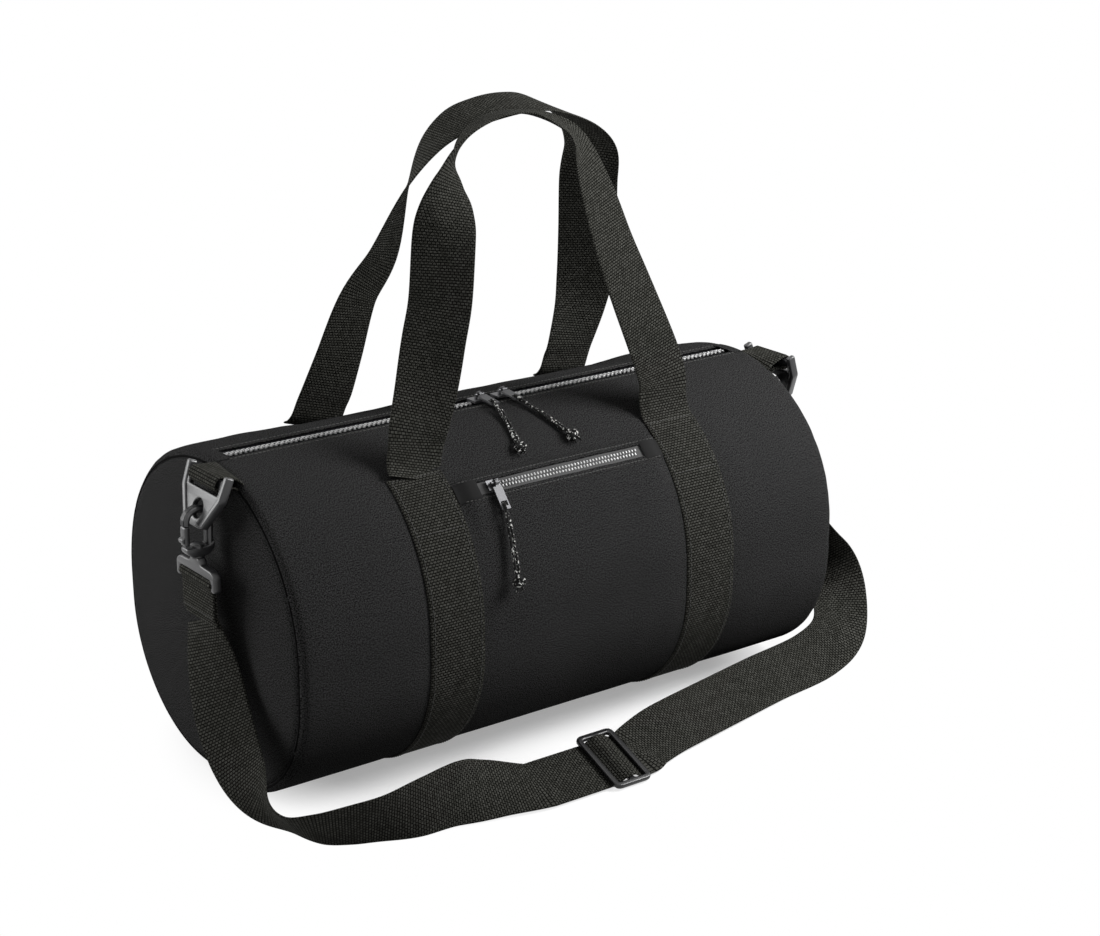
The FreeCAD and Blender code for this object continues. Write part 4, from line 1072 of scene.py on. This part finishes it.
def frame_matrix(origin, first, second):
    """A matrix whose x and y follow two directions at a place."""
    first = Vector(first).normalized()
    second = Vector(second).normalized()
    third = first.cross(second).normalized()
    return Matrix.Translation(origin) @ Matrix((first, second, third)).transposed().to_4x4()


def tube(name, points, radius, material, sides=10):
    """A round bar along points with flat ends."""
    verts = []
    for spot, along in zip(points, line_ways(points)):
        guide = Z_AXIS if abs(along.z) < STEEP_SHARE else X_AXIS
        first = along.cross(guide).normalized()
        second = along.cross(first).normalized()
        verts += circle_points(spot, first, second, radius, sides)
    return mesh_object(name, verts, pipe_faces(len(points), sides), material)


def joined(name, pieces):
    """One object from several meshes, keeping their materials."""
    bpy.ops.object.select_all(action="DESELECT")
    for piece in pieces:
        piece.select_set(True)
    bpy.context.view_layer.objects.active = pieces[0]
    bpy.ops.object.join()
    pieces[0].name = name
    pieces[0].data.name = name
    return pieces[0]


# Clips at both ends

def clip_piece(kind, name, pieces):
    """One plastic body of a clip from its pieces."""
    ride_slot(joined(kind + "_body_" + name, pieces), kind + "_" + name, "clip_plastic", kind + "_" + name)


def ring_piece(end, name):
    """The ring plate: wide at the webbing with raised ends, an eye for the hook below."""
    lean = Vector((end * RING_LEAN_X, 0, -RING_DROP))
    matrix = frame_matrix(Vector((end * RING_X, HARDWARE_Y, RING_Z)), -Y_AXIS, -lean)
    outer = rounded(mirrored(RING_HALF), RING_CORNER)
    slot_line = rounded(mirrored(RING_SLOT_HALF), RING_SLOT_CORNER)
    centre = Vector((0, -RING_REACH + RING_EYE_UP, 0))
    eye = circle_points(centre, X_AXIS, Y_AXIS, RING_EYE_RADIUS, RING_EYE_SIDES)
    pieces = [plate("ring_plate_" + name, [outer, slot_line, eye], RING_PLATE, matrix)]
    for side in (-1, 1):
        lip = rounded([(side * x, y) for x, y in RING_LIP], RING_LIP_CORNER)
        pieces.append(plate("ring_lip_%s_%d" % (name, side), [lip], RING_LIP_PLATE, matrix))
    clip_piece("ring", name, pieces)


def hook_piece(end, name):
    """The snap hook: a bent bar through the ring's eye on a solid foot, and its gate."""
    matrix = frame_matrix(Vector((end * CLIP_X, HARDWARE_Y, HOOK_Z)), (end, 0, 0), Z_AXIS)
    line = [matrix @ spot for spot in spline([(x, z, 0) for x, z in HOOK_BAR], HOOK_BAR_STEPS)]
    bar = band("hook_bar_" + name, line, [Y_AXIS] * len(line), HOOK_BAR_WIDTH, HOOK_BAR_THICKNESS, PLASTIC)
    foot = plate("hook_foot_" + name, [rounded(HOOK_FOOT, HOOK_FOOT_CORNER)], HOOK_FOOT_PLATE, matrix)
    clip_piece("hook", name, [bar, foot])
    gate = plate("gate_bar_" + name, [rounded(GATE, GATE_CORNER)], GATE_PLATE, matrix)
    thumb = plate("gate_thumb_" + name, [rounded(THUMB, THUMB_CORNER)], THUMB_PLATE, matrix)
    clip_piece("gate", name, [gate, thumb])


def swivel_piece(end, name):
    """The bracket that turns under the hook: ribbed neck, shoulders, arms and the strap's bar."""
    crown = Vector((end * CLIP_X, HARDWARE_Y, CROWN_TOP_Z))
    matrix = frame_matrix(crown, (0, -end, 0), Z_AXIS)
    outer = rounded(mirrored(SWIVEL_HALF), SWIVEL_CORNER)
    bracket = plate("swivel_plate_" + name, [outer], SWIVEL_PLATE, matrix)
    spots = [Vector((crown.x, HARDWARE_Y + y, STRAP_BAR_Z)) for y in (-SWIVEL_BAR_HALF, 0.0, SWIVEL_BAR_HALF)]
    bar = tube("swivel_bar_" + name, spots, SWIVEL_BAR_RADIUS, PLASTIC)
    verts = []
    for radius, height in NECK_PROFILE:
        verts += circle_points(crown + Z_AXIS * height, X_AXIS, Y_AXIS, radius, NECK_SIDES)
    faces = grid_faces(len(NECK_PROFILE), NECK_SIDES, True)
    faces.append(tuple(range(len(verts) - NECK_SIDES, len(verts))))
    neck = mesh_object("swivel_neck_" + name, verts, faces, PLASTIC)
    neck.data.set_sharp_from_angle(angle=math.radians(NECK_SHARP_ANGLE))
    clip_piece("swivel", name, [bracket, bar, neck])


def ring_tab(end, name):
    """The webbing tab: sewn on the body, over the edge and round the ring's bar."""
    angle = math.degrees(math.asin(-HARDWARE_Y / BAG_RADIUS))
    slant = (on_body(0, angle + 90.0, 0.0) - Vector((0, 0, MIDDLE_Z))).normalized()
    bar = Vector((end * RING_X, HARDWARE_Y, RING_Z))
    sewn = [on_body(end * x, angle, out) for x, out in TAB_SEWN]
    lower = [on_body(end * x, angle, out) for x, out in TAB_LOWER]
    loop = []
    for degrees in spread(TAB_LOOP_TURN, -TAB_LOOP_TURN, LOOP_STEPS):
        turn = math.radians(degrees)
        loop.append(bar + Vector((end * math.cos(turn), 0, math.sin(turn))) * TAB_LOOP_RADIUS)
    line = spline(sewn + loop + lower, TAB_STEPS)
    directions = [slant.lerp(-Y_AXIS, smooth_step(*TAB_TURN_X, abs(spot.x))) for spot in line]
    piece = band("ring_tab_cloth_" + name, line, directions, TAB_WEB_WIDTH, WEBBING_THICKNESS)
    ride_slot(piece, "bag", "webbing", "ring_tab_" + name)


def adjuster():
    """The three-bar adjuster on the strap's leaning stretch."""
    middle, across, out = strap_spot(ADJUSTER_X)
    matrix = frame_matrix(middle, X_AXIS, across)
    half_x, half_y = ADJUSTER_LENGTH / 2, ADJUSTER_WIDTH / 2
    outlines = [rounded(mirrored([(half_x, -half_y), (half_x, half_y)]), ADJUSTER_CORNER)]
    for end in (-1, 1):
        low, high = end * ADJUSTER_BAR / 2, end * (half_x - ADJUSTER_RAIL)
        edge = half_y - ADJUSTER_RAIL
        slot_line = [(low, -edge), (high, -edge), (high, edge), (low, edge)]
        outlines.append(rounded(slot_line, ADJUSTER_SLOT_CORNER))
    body = plate("adjuster_frame", outlines, ADJUSTER_PLATE, matrix, ADJUSTER_PLASTIC)
    ride_slot(body, "strap_adjuster", "clip_plastic", "strap_adjuster")


# Thread

def stitches(name, rows):
    """Short raised stitches along rows of (place, outward direction)."""
    verts, faces = [], []
    shape = grid_faces(len(STITCH_PROFILE), STITCH_SIDES, True)
    for row in rows:
        for (here, out), (there, unused) in zip(row, row[1:]):
            along = there - here
            wide = along.cross(out).normalized()
            up = wide.cross(along).normalized()
            start = len(verts)
            for share, size in STITCH_PROFILE:
                middle = here + along * (share * STITCH_LENGTH / STITCH_PITCH)
                verts += circle_points(middle, wide, up, STITCH_RADIUS * size, STITCH_SIDES)
            faces += [tuple(start + corner for corner in face) for face in shape]
    return mesh_object(name, verts, faces, THREAD)


def stitch_row(start, end, side, lift, puffed=False):
    """Stitch places on a straight line of the developed side, between two places (x, run)."""
    count = max(1, round(math.dist(start, end) / STITCH_PITCH))
    row = []
    for x, run in zip(spread(start[0], end[0], count), spread(start[1], end[1], count)):
        spot, out = girth(run, side)
        height = lift + puff(x, run, side) if puffed else lift
        row.append((spot + out * height + X_AXIS * x, out))
    return row


def strip_thread(name, side_x, side):
    """Lines down both edges of a webbing strip and the sewn box at its top."""
    top, low = run_of(STITCH_ANGLE) + STRIP_THREAD_TOP, run_of(LOW_STITCH_ANGLE)
    inset = WEBBING_WIDTH / 2 - STRIP_THREAD_INSET
    left, right = side_x - inset, side_x + inset
    lines = [((x, top), (x, GIRTH - STRIP_THREAD_STOP)) for x in (left, right)]
    lines += [((left, run), (right, run)) for run in (top, low)]
    rows = [stitch_row(start, end, side, WEBBING_THICKNESS + STITCH_LIFT) for start, end in lines]
    ride_slot(stitches(name, rows), "bag", "webbing")


def hem_thread(name, side):
    """Topstitching along the main zip."""
    half = HALF_LENGTH - HEM_THREAD_END
    run = HEM_RUN + HEM_THREAD_INSET
    row = stitch_row((-half, run), (half, run), side, STITCH_LIFT, True)
    ride_slot(stitches(name, [row]), "bag", "canvas")


# Zips

def soft_box(verts, faces, middle, axes, size, edge):
    """A block with cut edges, added to lists of points and faces."""
    start = len(verts)
    cube = bmesh.new()
    bmesh.ops.create_cube(cube, size=1.0)
    for vert in cube.verts:
        vert.co = Vector((vert.co.x * size[0], vert.co.y * size[1], vert.co.z * size[2]))
    bmesh.ops.bevel(cube, geom=list(cube.edges), offset=edge, segments=1, affect="EDGES")
    cube.verts.index_update()
    for vert in cube.verts:
        verts.append(middle + axes[0] * vert.co.x + axes[1] * vert.co.y + axes[2] * vert.co.z)
    faces += [tuple(start + vert.index for vert in face.verts) for face in cube.faces]
    cube.free()


def half_tooth(verts, faces, x, side, height):
    """One side's half of a tooth: two arms and an outer bar round an open middle, where main_zip sets a
    near-black block of painted shade.
    """
    axes = (X_AXIS, Y_AXIS, Z_AXIS)
    for way in (-1, 1):
        middle = Vector((x + way * (TOOTH_LENGTH - TOOTH_ARM) / 2, side * TOOTH_REACH / 2, height))
        soft_box(verts, faces, middle, axes, (TOOTH_ARM, TOOTH_REACH, TOOTH_HEIGHT), TOOTH_EDGE)
    bar = Vector((x, side * (TOOTH_REACH - TOOTH_ARM / 2), height))
    soft_box(verts, faces, bar, axes, (TOOTH_LENGTH, TOOTH_ARM, TOOTH_HEIGHT), TOOTH_EDGE)


def main_zip():
    """Tapes and teeth of the main zip along the top, with cloth over its ends."""
    tape_z = MIDDLE_Z + math.sqrt((BAG_RADIUS - FABRIC) ** 2 - TAPE_REACH ** 2) - ZIP_TAPE_CLEAR
    height = tape_z + TOOTH_RAISE
    inner = TOOTH_REACH - TOOTH_ARM
    shade_size = (TOOTH_LENGTH - TOOTH_ARM, inner, TOOTH_HEIGHT)
    count = int((HALF_LENGTH - TOOTH_MARGIN) / TOOTH_PITCH)
    for name, side in SIDES:
        paint("main_zip_tape_" + name, ZIP_TAPE)
        verts, faces, dark_verts, dark_faces = [], [], [], []
        for index in range(-count, count + 1):
            x = index * TOOTH_PITCH
            if abs(x) > TOOTH_FREE_HALF:
                half_tooth(verts, faces, x, side, height)
                # A near-black block sunk in the tooth's middle: painted shade for its dimple
                middle = Vector((x, side * inner / 2, height - TOOTH_SINK))
                soft_box(dark_verts, dark_faces, middle, (X_AXIS, Y_AXIS, Z_AXIS), shade_size, TOOTH_EDGE)
        piece = mesh_object("main_teeth_" + name, verts, faces, HIGHLIT_TEETH, None, False)
        ride_slot(piece, "bag", "zip_teeth", "main_zip_teeth_" + name)
        shade_block = mesh_object("main_teeth_shade_" + name, dark_verts, dark_faces, PAINTED_SHADE, None, False)
        ride_slot(shade_block, "bag", "zip_teeth")
    for name, end in ENDS:
        zip_cap(name, end)


def zip_cap(name, end):
    """Cloth sewn over an end of the main zip, down into the end seam."""
    verts, uvs = [], []
    for x in spread(ZIP_CAP_FROM, HALF_LENGTH, ZIP_CAP_ROWS):
        into = max(0.0, x - HALF_LENGTH + END_ROLL)
        inset = END_ROLL - math.sqrt(END_ROLL ** 2 - into ** 2)
        for angle in spread(-ZIP_CAP_ANGLE, ZIP_CAP_ANGLE, ZIP_CAP_COLUMNS):
            verts.append(on_body(end * x, angle, ZIP_CAP_LIFT - inset))
            uvs.append((x, run_of(angle)))
    faces = grid_faces(ZIP_CAP_ROWS + 1, ZIP_CAP_COLUMNS + 1)
    ride_slot(mesh_object("zip_cap_" + name, verts, faces, CANVAS, uvs), "bag", "canvas")


def pocket_height(x, away):
    """How far the pocket's cloth stands off the body: most at its zip, least at its sides and foot."""
    near_zip = smooth_step(POCKET_EASE, 0.0, away)
    near_side = smooth_step(POCKET_HALF, POCKET_HALF - POCKET_SIDE_EASE, abs(x))
    low = POCKET_LIE * POCKET_LOW_SHARE
    return low + (POCKET_LIE - low + (POCKET_CLOTH_TOP - POCKET_LIE) * near_zip) * near_side


def pocket_sheet(name, start, end, folded, node):
    """A cloth of the pocket with one edge turned in beside the zip."""
    span = abs(end - start)
    way = 1 if end > start else -1
    rows = [(start + way * POCKET_TURN, -2 * POCKET_FOLD), (start + way * POCKET_TURN_NEAR, -2 * POCKET_FOLD),
            (start - way * POCKET_FOLD * POCKET_FOLD_SHARE, -POCKET_FOLD), (start, 0.0)]
    count = max(POCKET_ROWS_LEAST, int(span / POCKET_ROW))
    rows += [(run, 0.0) for run in spread(start, end, count)[1:]]
    places = spread(-POCKET_HALF, POCKET_HALF, POCKET_COLUMNS)

    def height(r, c):
        run, sink = rows[r]
        away = abs(run - start)
        lift = pocket_height(places[c], away)
        if not folded:
            fade = smooth_step(span, span * FACING_FLAT_SHARE, away)
            lift *= fade * FACING_FADE_SHARE + 1 - FACING_FADE_SHARE
        return lift + sink

    piece = draped(name, [run for run, sink in rows], places, -1, height, CANVAS)
    return ride_slot(piece, "bag", "canvas", node)


def pocket():
    """The front pocket: cloth, zip tape, coil and end tabs."""
    middle = run_of(POCKET_ZIP_ANGLE)
    low, high = middle + POCKET_SLOT_HALF, middle - POCKET_SLOT_HALF
    pocket_sheet("pocket_cloth", low, POCKET_END_RUN, True, "pocket_panel")
    pocket_sheet("pocket_hem", high, high - POCKET_FACING_SPAN, False, "pocket_facing")
    half = POCKET_HALF - POCKET_THREAD_END
    thread = []
    for run in (high - POCKET_THREAD_INSET, low + POCKET_THREAD_INSET):
        thread.append(stitch_row((-half, run), (half, run), -1, POCKET_CLOTH_TOP, True))
    ride_slot(stitches("pocket_thread", thread), "bag", "canvas")
    for name, side in (("upper", 1), ("lower", -1)):
        pocket_tape(name, middle, side)
        pocket_coil(name, middle, side)
    for name, end in ENDS:
        zip_end(name, middle, end)


def pocket_coil(name, middle, side):
    """One row of the pocket zip's coil, from its slider to its far end."""
    verts, faces = [], []
    spot, out = girth(middle - side * (COIL_REACH / 2 + COIL_SPLIT), -1)
    axes = (X_AXIS, X_AXIS.cross(out), out)
    size = (COIL_LENGTH, COIL_REACH, COIL_HEIGHT)
    count = int((POCKET_ZIP_HALF - COIL_MARGIN) / COIL_PITCH)
    for index in range(-count, count):
        x = (index + (0.5 if side > 0 else 0.0)) * COIL_PITCH
        if x >= POCKET_SLIDER_X:
            place = spot + out * (POCKET_STAND + COIL_HEIGHT / 2) + X_AXIS * x
            soft_box(verts, faces, place, axes, size, COIL_EDGE)
    coil = mesh_object("pocket_coil_" + name, verts, faces, HIGHLIT_COIL, None, False)
    ride_slot(coil, "bag", "zip_coil", "pocket_zip_coil_" + name)


def pocket_tape(name, middle, side):
    """One half of the pocket zip's woven tape, from its middle to under the cloth."""
    runs = spread(middle, middle - side * POCKET_TAPE_SPAN, POCKET_TAPE_ROWS)
    places = spread(-POCKET_ZIP_HALF, POCKET_ZIP_HALF, POCKET_TAPE_COLUMNS)

    def height(r, c):
        return POCKET_STAND

    tape = draped("pocket_tape_" + name, runs, places, -1, height, POCKET_TAPE)
    ride_slot(tape, "bag", "zip_tape", "pocket_zip_tape_" + name)


def zip_end(name, middle, end):
    """A folded cloth tab over an end of the pocket's zip."""
    runs = spread(middle - STOP_HALF, middle + STOP_HALF, STOP_ROWS)
    places = spread(end * POCKET_HALF, end * (POCKET_HALF - STOP_LENGTH), STOP_ROWS)

    def height(r, c):
        rim = min(1 - abs(2 * r / STOP_ROWS - 1), 1 - c / STOP_ROWS)
        full = min(1.0, STOP_RIM_ROWS * max(rim, 0.0))
        return pocket_height(places[c], 0.0) + STOP_LIFT + STOP_THICKNESS * math.sqrt(full)

    piece = draped("pocket_end_" + name, runs, places, -1, height, BINDING)
    ride_slot(piece, "bag", "binding", "pocket_zip_stop_" + name)


# Pulls

def cord_route(x, angle, bridge, slope, run, splay):
    """Points of a pull's looped cord, and where its knot starts."""
    step = TAB_THICKNESS / 2 + CORD_DIAMETER / 2 + CORD_GAP
    spot = on_body(x, angle, bridge)
    turn = Matrix.Rotation(math.radians(angle + slope), 3, "X")
    eye_middle = EYE_FROM + CORD_DIAMETER / 2 + CORD_GAP

    def on_tab(side_x, reach, out):
        return spot + turn @ Vector((side_x, -reach, out))

    def strand(side_x, extra):
        return [on_body(x + share * splay + side_x, angle + turn_by, height + extra * (1 - share))
                for turn_by, height, share in run]

    outer = strand(-STRAND_HALF, CORD_LIFT)
    inner = strand(STRAND_HALF, 0.0)
    eye = [on_tab(-STRAND_HALF, TAB_LENGTH, step), on_tab(-STRAND_HALF, eye_middle, step),
           on_tab(STRAND_HALF, eye_middle, -step), on_tab(STRAND_HALF, TAB_LENGTH, -step)]
    way = (inner[-1] - inner[-2]).normalized()
    knot_start = (outer[-1] + inner[-1]) / 2 + way * KNOT_GAP
    return outer[::-1] + eye + inner, knot_start, way


def cord_knot(name, start, way, body, node):
    """A small overhand knot with two cut tails."""
    out = (start - Vector((start.x, 0, MIDDLE_Z))).normalized()
    wide = way.cross(out).normalized()
    up = wide.cross(way).normalized()
    middle = start + way * KNOT_SIZE
    scale = (KNOT_SIZE - KNOT_THICK) / KNOT_CURVE_REACH
    line = []
    for t in spread(0.0, math.tau, KNOT_STEPS):
        aside = math.sin(t) + 2 * math.sin(2 * t)
        along = math.cos(t) - 2 * math.cos(2 * t)
        line.append(middle + (wide * aside + way * along) * scale - up * math.sin(3 * t) * KNOT_THICK)
    pieces = [tube(name + "_lump", line, KNOT_THICK, CORD)]
    for side in (-1, 1):
        tail = [middle + way * along + wide * side * aside + up * rise for along, aside, rise in TAIL_LINE]
        tail_line = spline(tail, TAIL_STEPS)
        pieces.append(tube(name + "_tail_%d" % side, tail_line, CORD_DIAMETER * TAIL_SHARE, CORD))
    return ride_slot(joined(name, pieces), body, "cord", node)


def pull_cord(name, x, angle, bridge, slope, run, splay):
    """The looped cord of a pull, through the tab's eye and back to its knot."""
    route, knot_start, way = cord_route(x, angle, bridge, slope, run, splay)
    knot = cord_knot(name + "_knot_lump", knot_start, way, name + "_pull", name + "_knot")
    curve = bpy.data.curves.new(name + "_cord_line", "CURVE")
    curve.dimensions = "3D"
    curve.resolution_u = 8
    path = curve.splines.new("NURBS")
    path.points.add(len(route) - 1)
    for point, spot in zip(path.points, route):
        point.co = (*spot, 1)
    path.order_u = 3
    path.use_endpoint_u = True
    piece = add_object(name + "_cord_line", curve)
    length = line_length(piece)
    curve.bevel_depth = CORD_DIAMETER / 2
    curve.bevel_resolution = 4
    curve.materials.append(CORD)
    ride_slot(piece, name + "_pull", "cord", name + "_cord")


def line_length(piece):
    """Length of a curve object's own line."""
    mesh = finished_mesh(piece)
    total = 0.0
    for edge in mesh.edges:
        here, there = (mesh.vertices[index].co for index in edge.vertices)
        total += (here - there).length
    bpy.data.meshes.remove(mesh)
    return total


def pulls():
    """Sliders, tabs and cords of both zips."""
    for name in ("main_left", "main_right", "pocket"):
        paint(name + "_slider", SLIDER_METAL, SLIDER_EDGE)
        paint(name + "_pull", PULL_METAL, PULL_EDGE)
    for name, side in (("main_left", -1), ("main_right", 1)):
        pull_cord(name, side * SLIDER_X, 0.0, MAIN_BRIDGE, MAIN_TAB_SLOPE, MAIN_CORD_RUN, side * MAIN_SPLAY)
    pull_cord("pocket", POCKET_SLIDER_X, POCKET_ZIP_ANGLE, POCKET_BRIDGE, POCKET_TAB_SLOPE, POCKET_CORD_RUN,
              -POCKET_SPLAY)


# Floor, light and view

def background_rays(tree):
    """1 for the rays that show the background: those of the camera, of gloss and of glass."""
    rays = add_node(tree, "ShaderNodeLightPath")
    total = rays.outputs["Is Camera Ray"]
    for name in ("Is Glossy Ray", "Is Transmission Ray"):
        most = add_node(tree, "ShaderNodeMath", operation="MAXIMUM")
        link(total, most.inputs[0])
        link(rays.outputs[name], most.inputs[1])
        total = most.outputs["Value"]
    return total


def mix_by_rays(tree, light, seen, output):
    """One shader as light, another for the rays that show the background."""
    mix = add_node(tree, "ShaderNodeMixShader")
    link(background_rays(tree), mix.inputs["Fac"])
    link(light, mix.inputs[1])
    link(seen, mix.inputs[2])
    link(mix.outputs["Shader"], tree.nodes[output].inputs["Surface"])


def floor():
    """A plain white floor that keeps soft shadows near the bag."""
    made, tree, shader = new_material("floor", FLOOR_COLOUR, 0.9, Specular_IOR_Level=0.0)
    reach = add_node(tree, "ShaderNodeVectorMath", operation="LENGTH")
    place = scaled_place(tree, "Object", (1 / FLOOR_SHADE_X, 1 / FLOOR_SHADE_Y, 1.0))
    link(place, reach.inputs[0])
    away = add_node(tree, "ShaderNodeMapRange", interpolation_type="SMOOTHSTEP")
    set_inputs(away, From_Min=FLOOR_NEAR_SHARE, From_Max=FLOOR_FAR_SHARE)
    link(reach.outputs["Value"], away.inputs["Value"])
    shade = add_node(tree, "ShaderNodeBsdfDiffuse")
    glow = add_node(tree, "ShaderNodeEmission")
    for node, near, far in ((shade, FLOOR_SHADE, 0.0), (glow, FLOOR_GLOW, 1.0)):
        level = colour_ramp(tree, away.outputs["Result"], 0.0, 1.0, grey(near), grey(far))
        link(level, node.inputs["Color"])
    seen = add_node(tree, "ShaderNodeAddShader")
    link(shade.outputs["BSDF"], seen.inputs[0])
    link(glow.outputs["Emission"], seen.inputs[1])
    mix_by_rays(tree, shader.outputs["BSDF"], seen.outputs["Shader"], "Material Output")
    corners = mirrored([(FLOOR_HALF, -FLOOR_HALF), (FLOOR_HALF, FLOOR_HALF)])
    mesh_object("floor", [(x, y, 0) for x, y in corners], [(0, 1, 2, 3)], made)


def aim(thing, place, target):
    """Put a light or a camera in its place and turn it to a target."""
    thing.location = place
    thing.rotation_euler = (Vector(target) - Vector(place)).to_track_quat("-Z", "Y").to_euler()


def area_light(name, place, target, size, power):
    data = bpy.data.lights.new(name, "AREA")
    data.shape = "RECTANGLE"
    data.size, data.size_y = size
    data.energy = power
    aim(add_object(name, data), place, target)


def world():
    """White to the camera, softer as light."""
    made = bpy.data.worlds.new("studio")
    made.use_nodes = True
    tree = made.node_tree
    shade = tree.nodes["Background"]
    white = add_node(tree, "ShaderNodeBackground")
    set_inputs(shade, Color=(1, 1, 1, 1), Strength=WORLD_LIGHT)
    set_inputs(white, Color=(1, 1, 1, 1), Strength=1.0)
    mix_by_rays(tree, shade.outputs["Background"], white.outputs["Background"], "World Output")
    bpy.context.scene.world = made


def camera():
    data = bpy.data.cameras.new("view")
    data.lens = CAMERA_LENS
    data.sensor_width = SENSOR
    eye = add_object("view", data)
    aim(eye, CAMERA_AT, CAMERA_TO)
    bpy.context.scene.camera = eye


def studio():
    bpy.context.scene.view_settings.view_transform = "Standard"
    floor()
    world()
    camera()
    for light in LIGHTS:
        area_light(*light)


# The whole bag

for name, side in SIDES:
    cloth_panel(name + "_cloth", side, name + "_panel")
    hem_thread(name + "_hem_thread", side)
for name, end in ENDS:
    end_disc("end_cloth_" + name, end, "end_panel_" + name)
    paint("seam_binding_" + name, BINDING)
    seam_shade_line(name, end)
    strip("strip_cloth_" + name, end * STRIP_X, "webbing_strip_" + name)
    for side_name, side in SIDES:
        strip_thread("strip_thread_%s_%s" % (name, side_name), end * STRIP_X, side)
    ring_tab(end, name)
    ring_piece(end, name)
    hook_piece(end, name)
    swivel_piece(end, name)
    strap_end(end, name)
    strap_side(end, name)
paint("base_seam_tape", BINDING)
handle("front_handle_cloth", FRONT_HANDLE, -1, FRONT_LEAN_SLOPE, "front_handle")
handle("rear_handle_cloth", REAR_HANDLE, 1, REAR_LEAN_SLOPE, "rear_handle")
main_zip()
pocket()
pulls()
strap_floor()
adjuster()
studio()
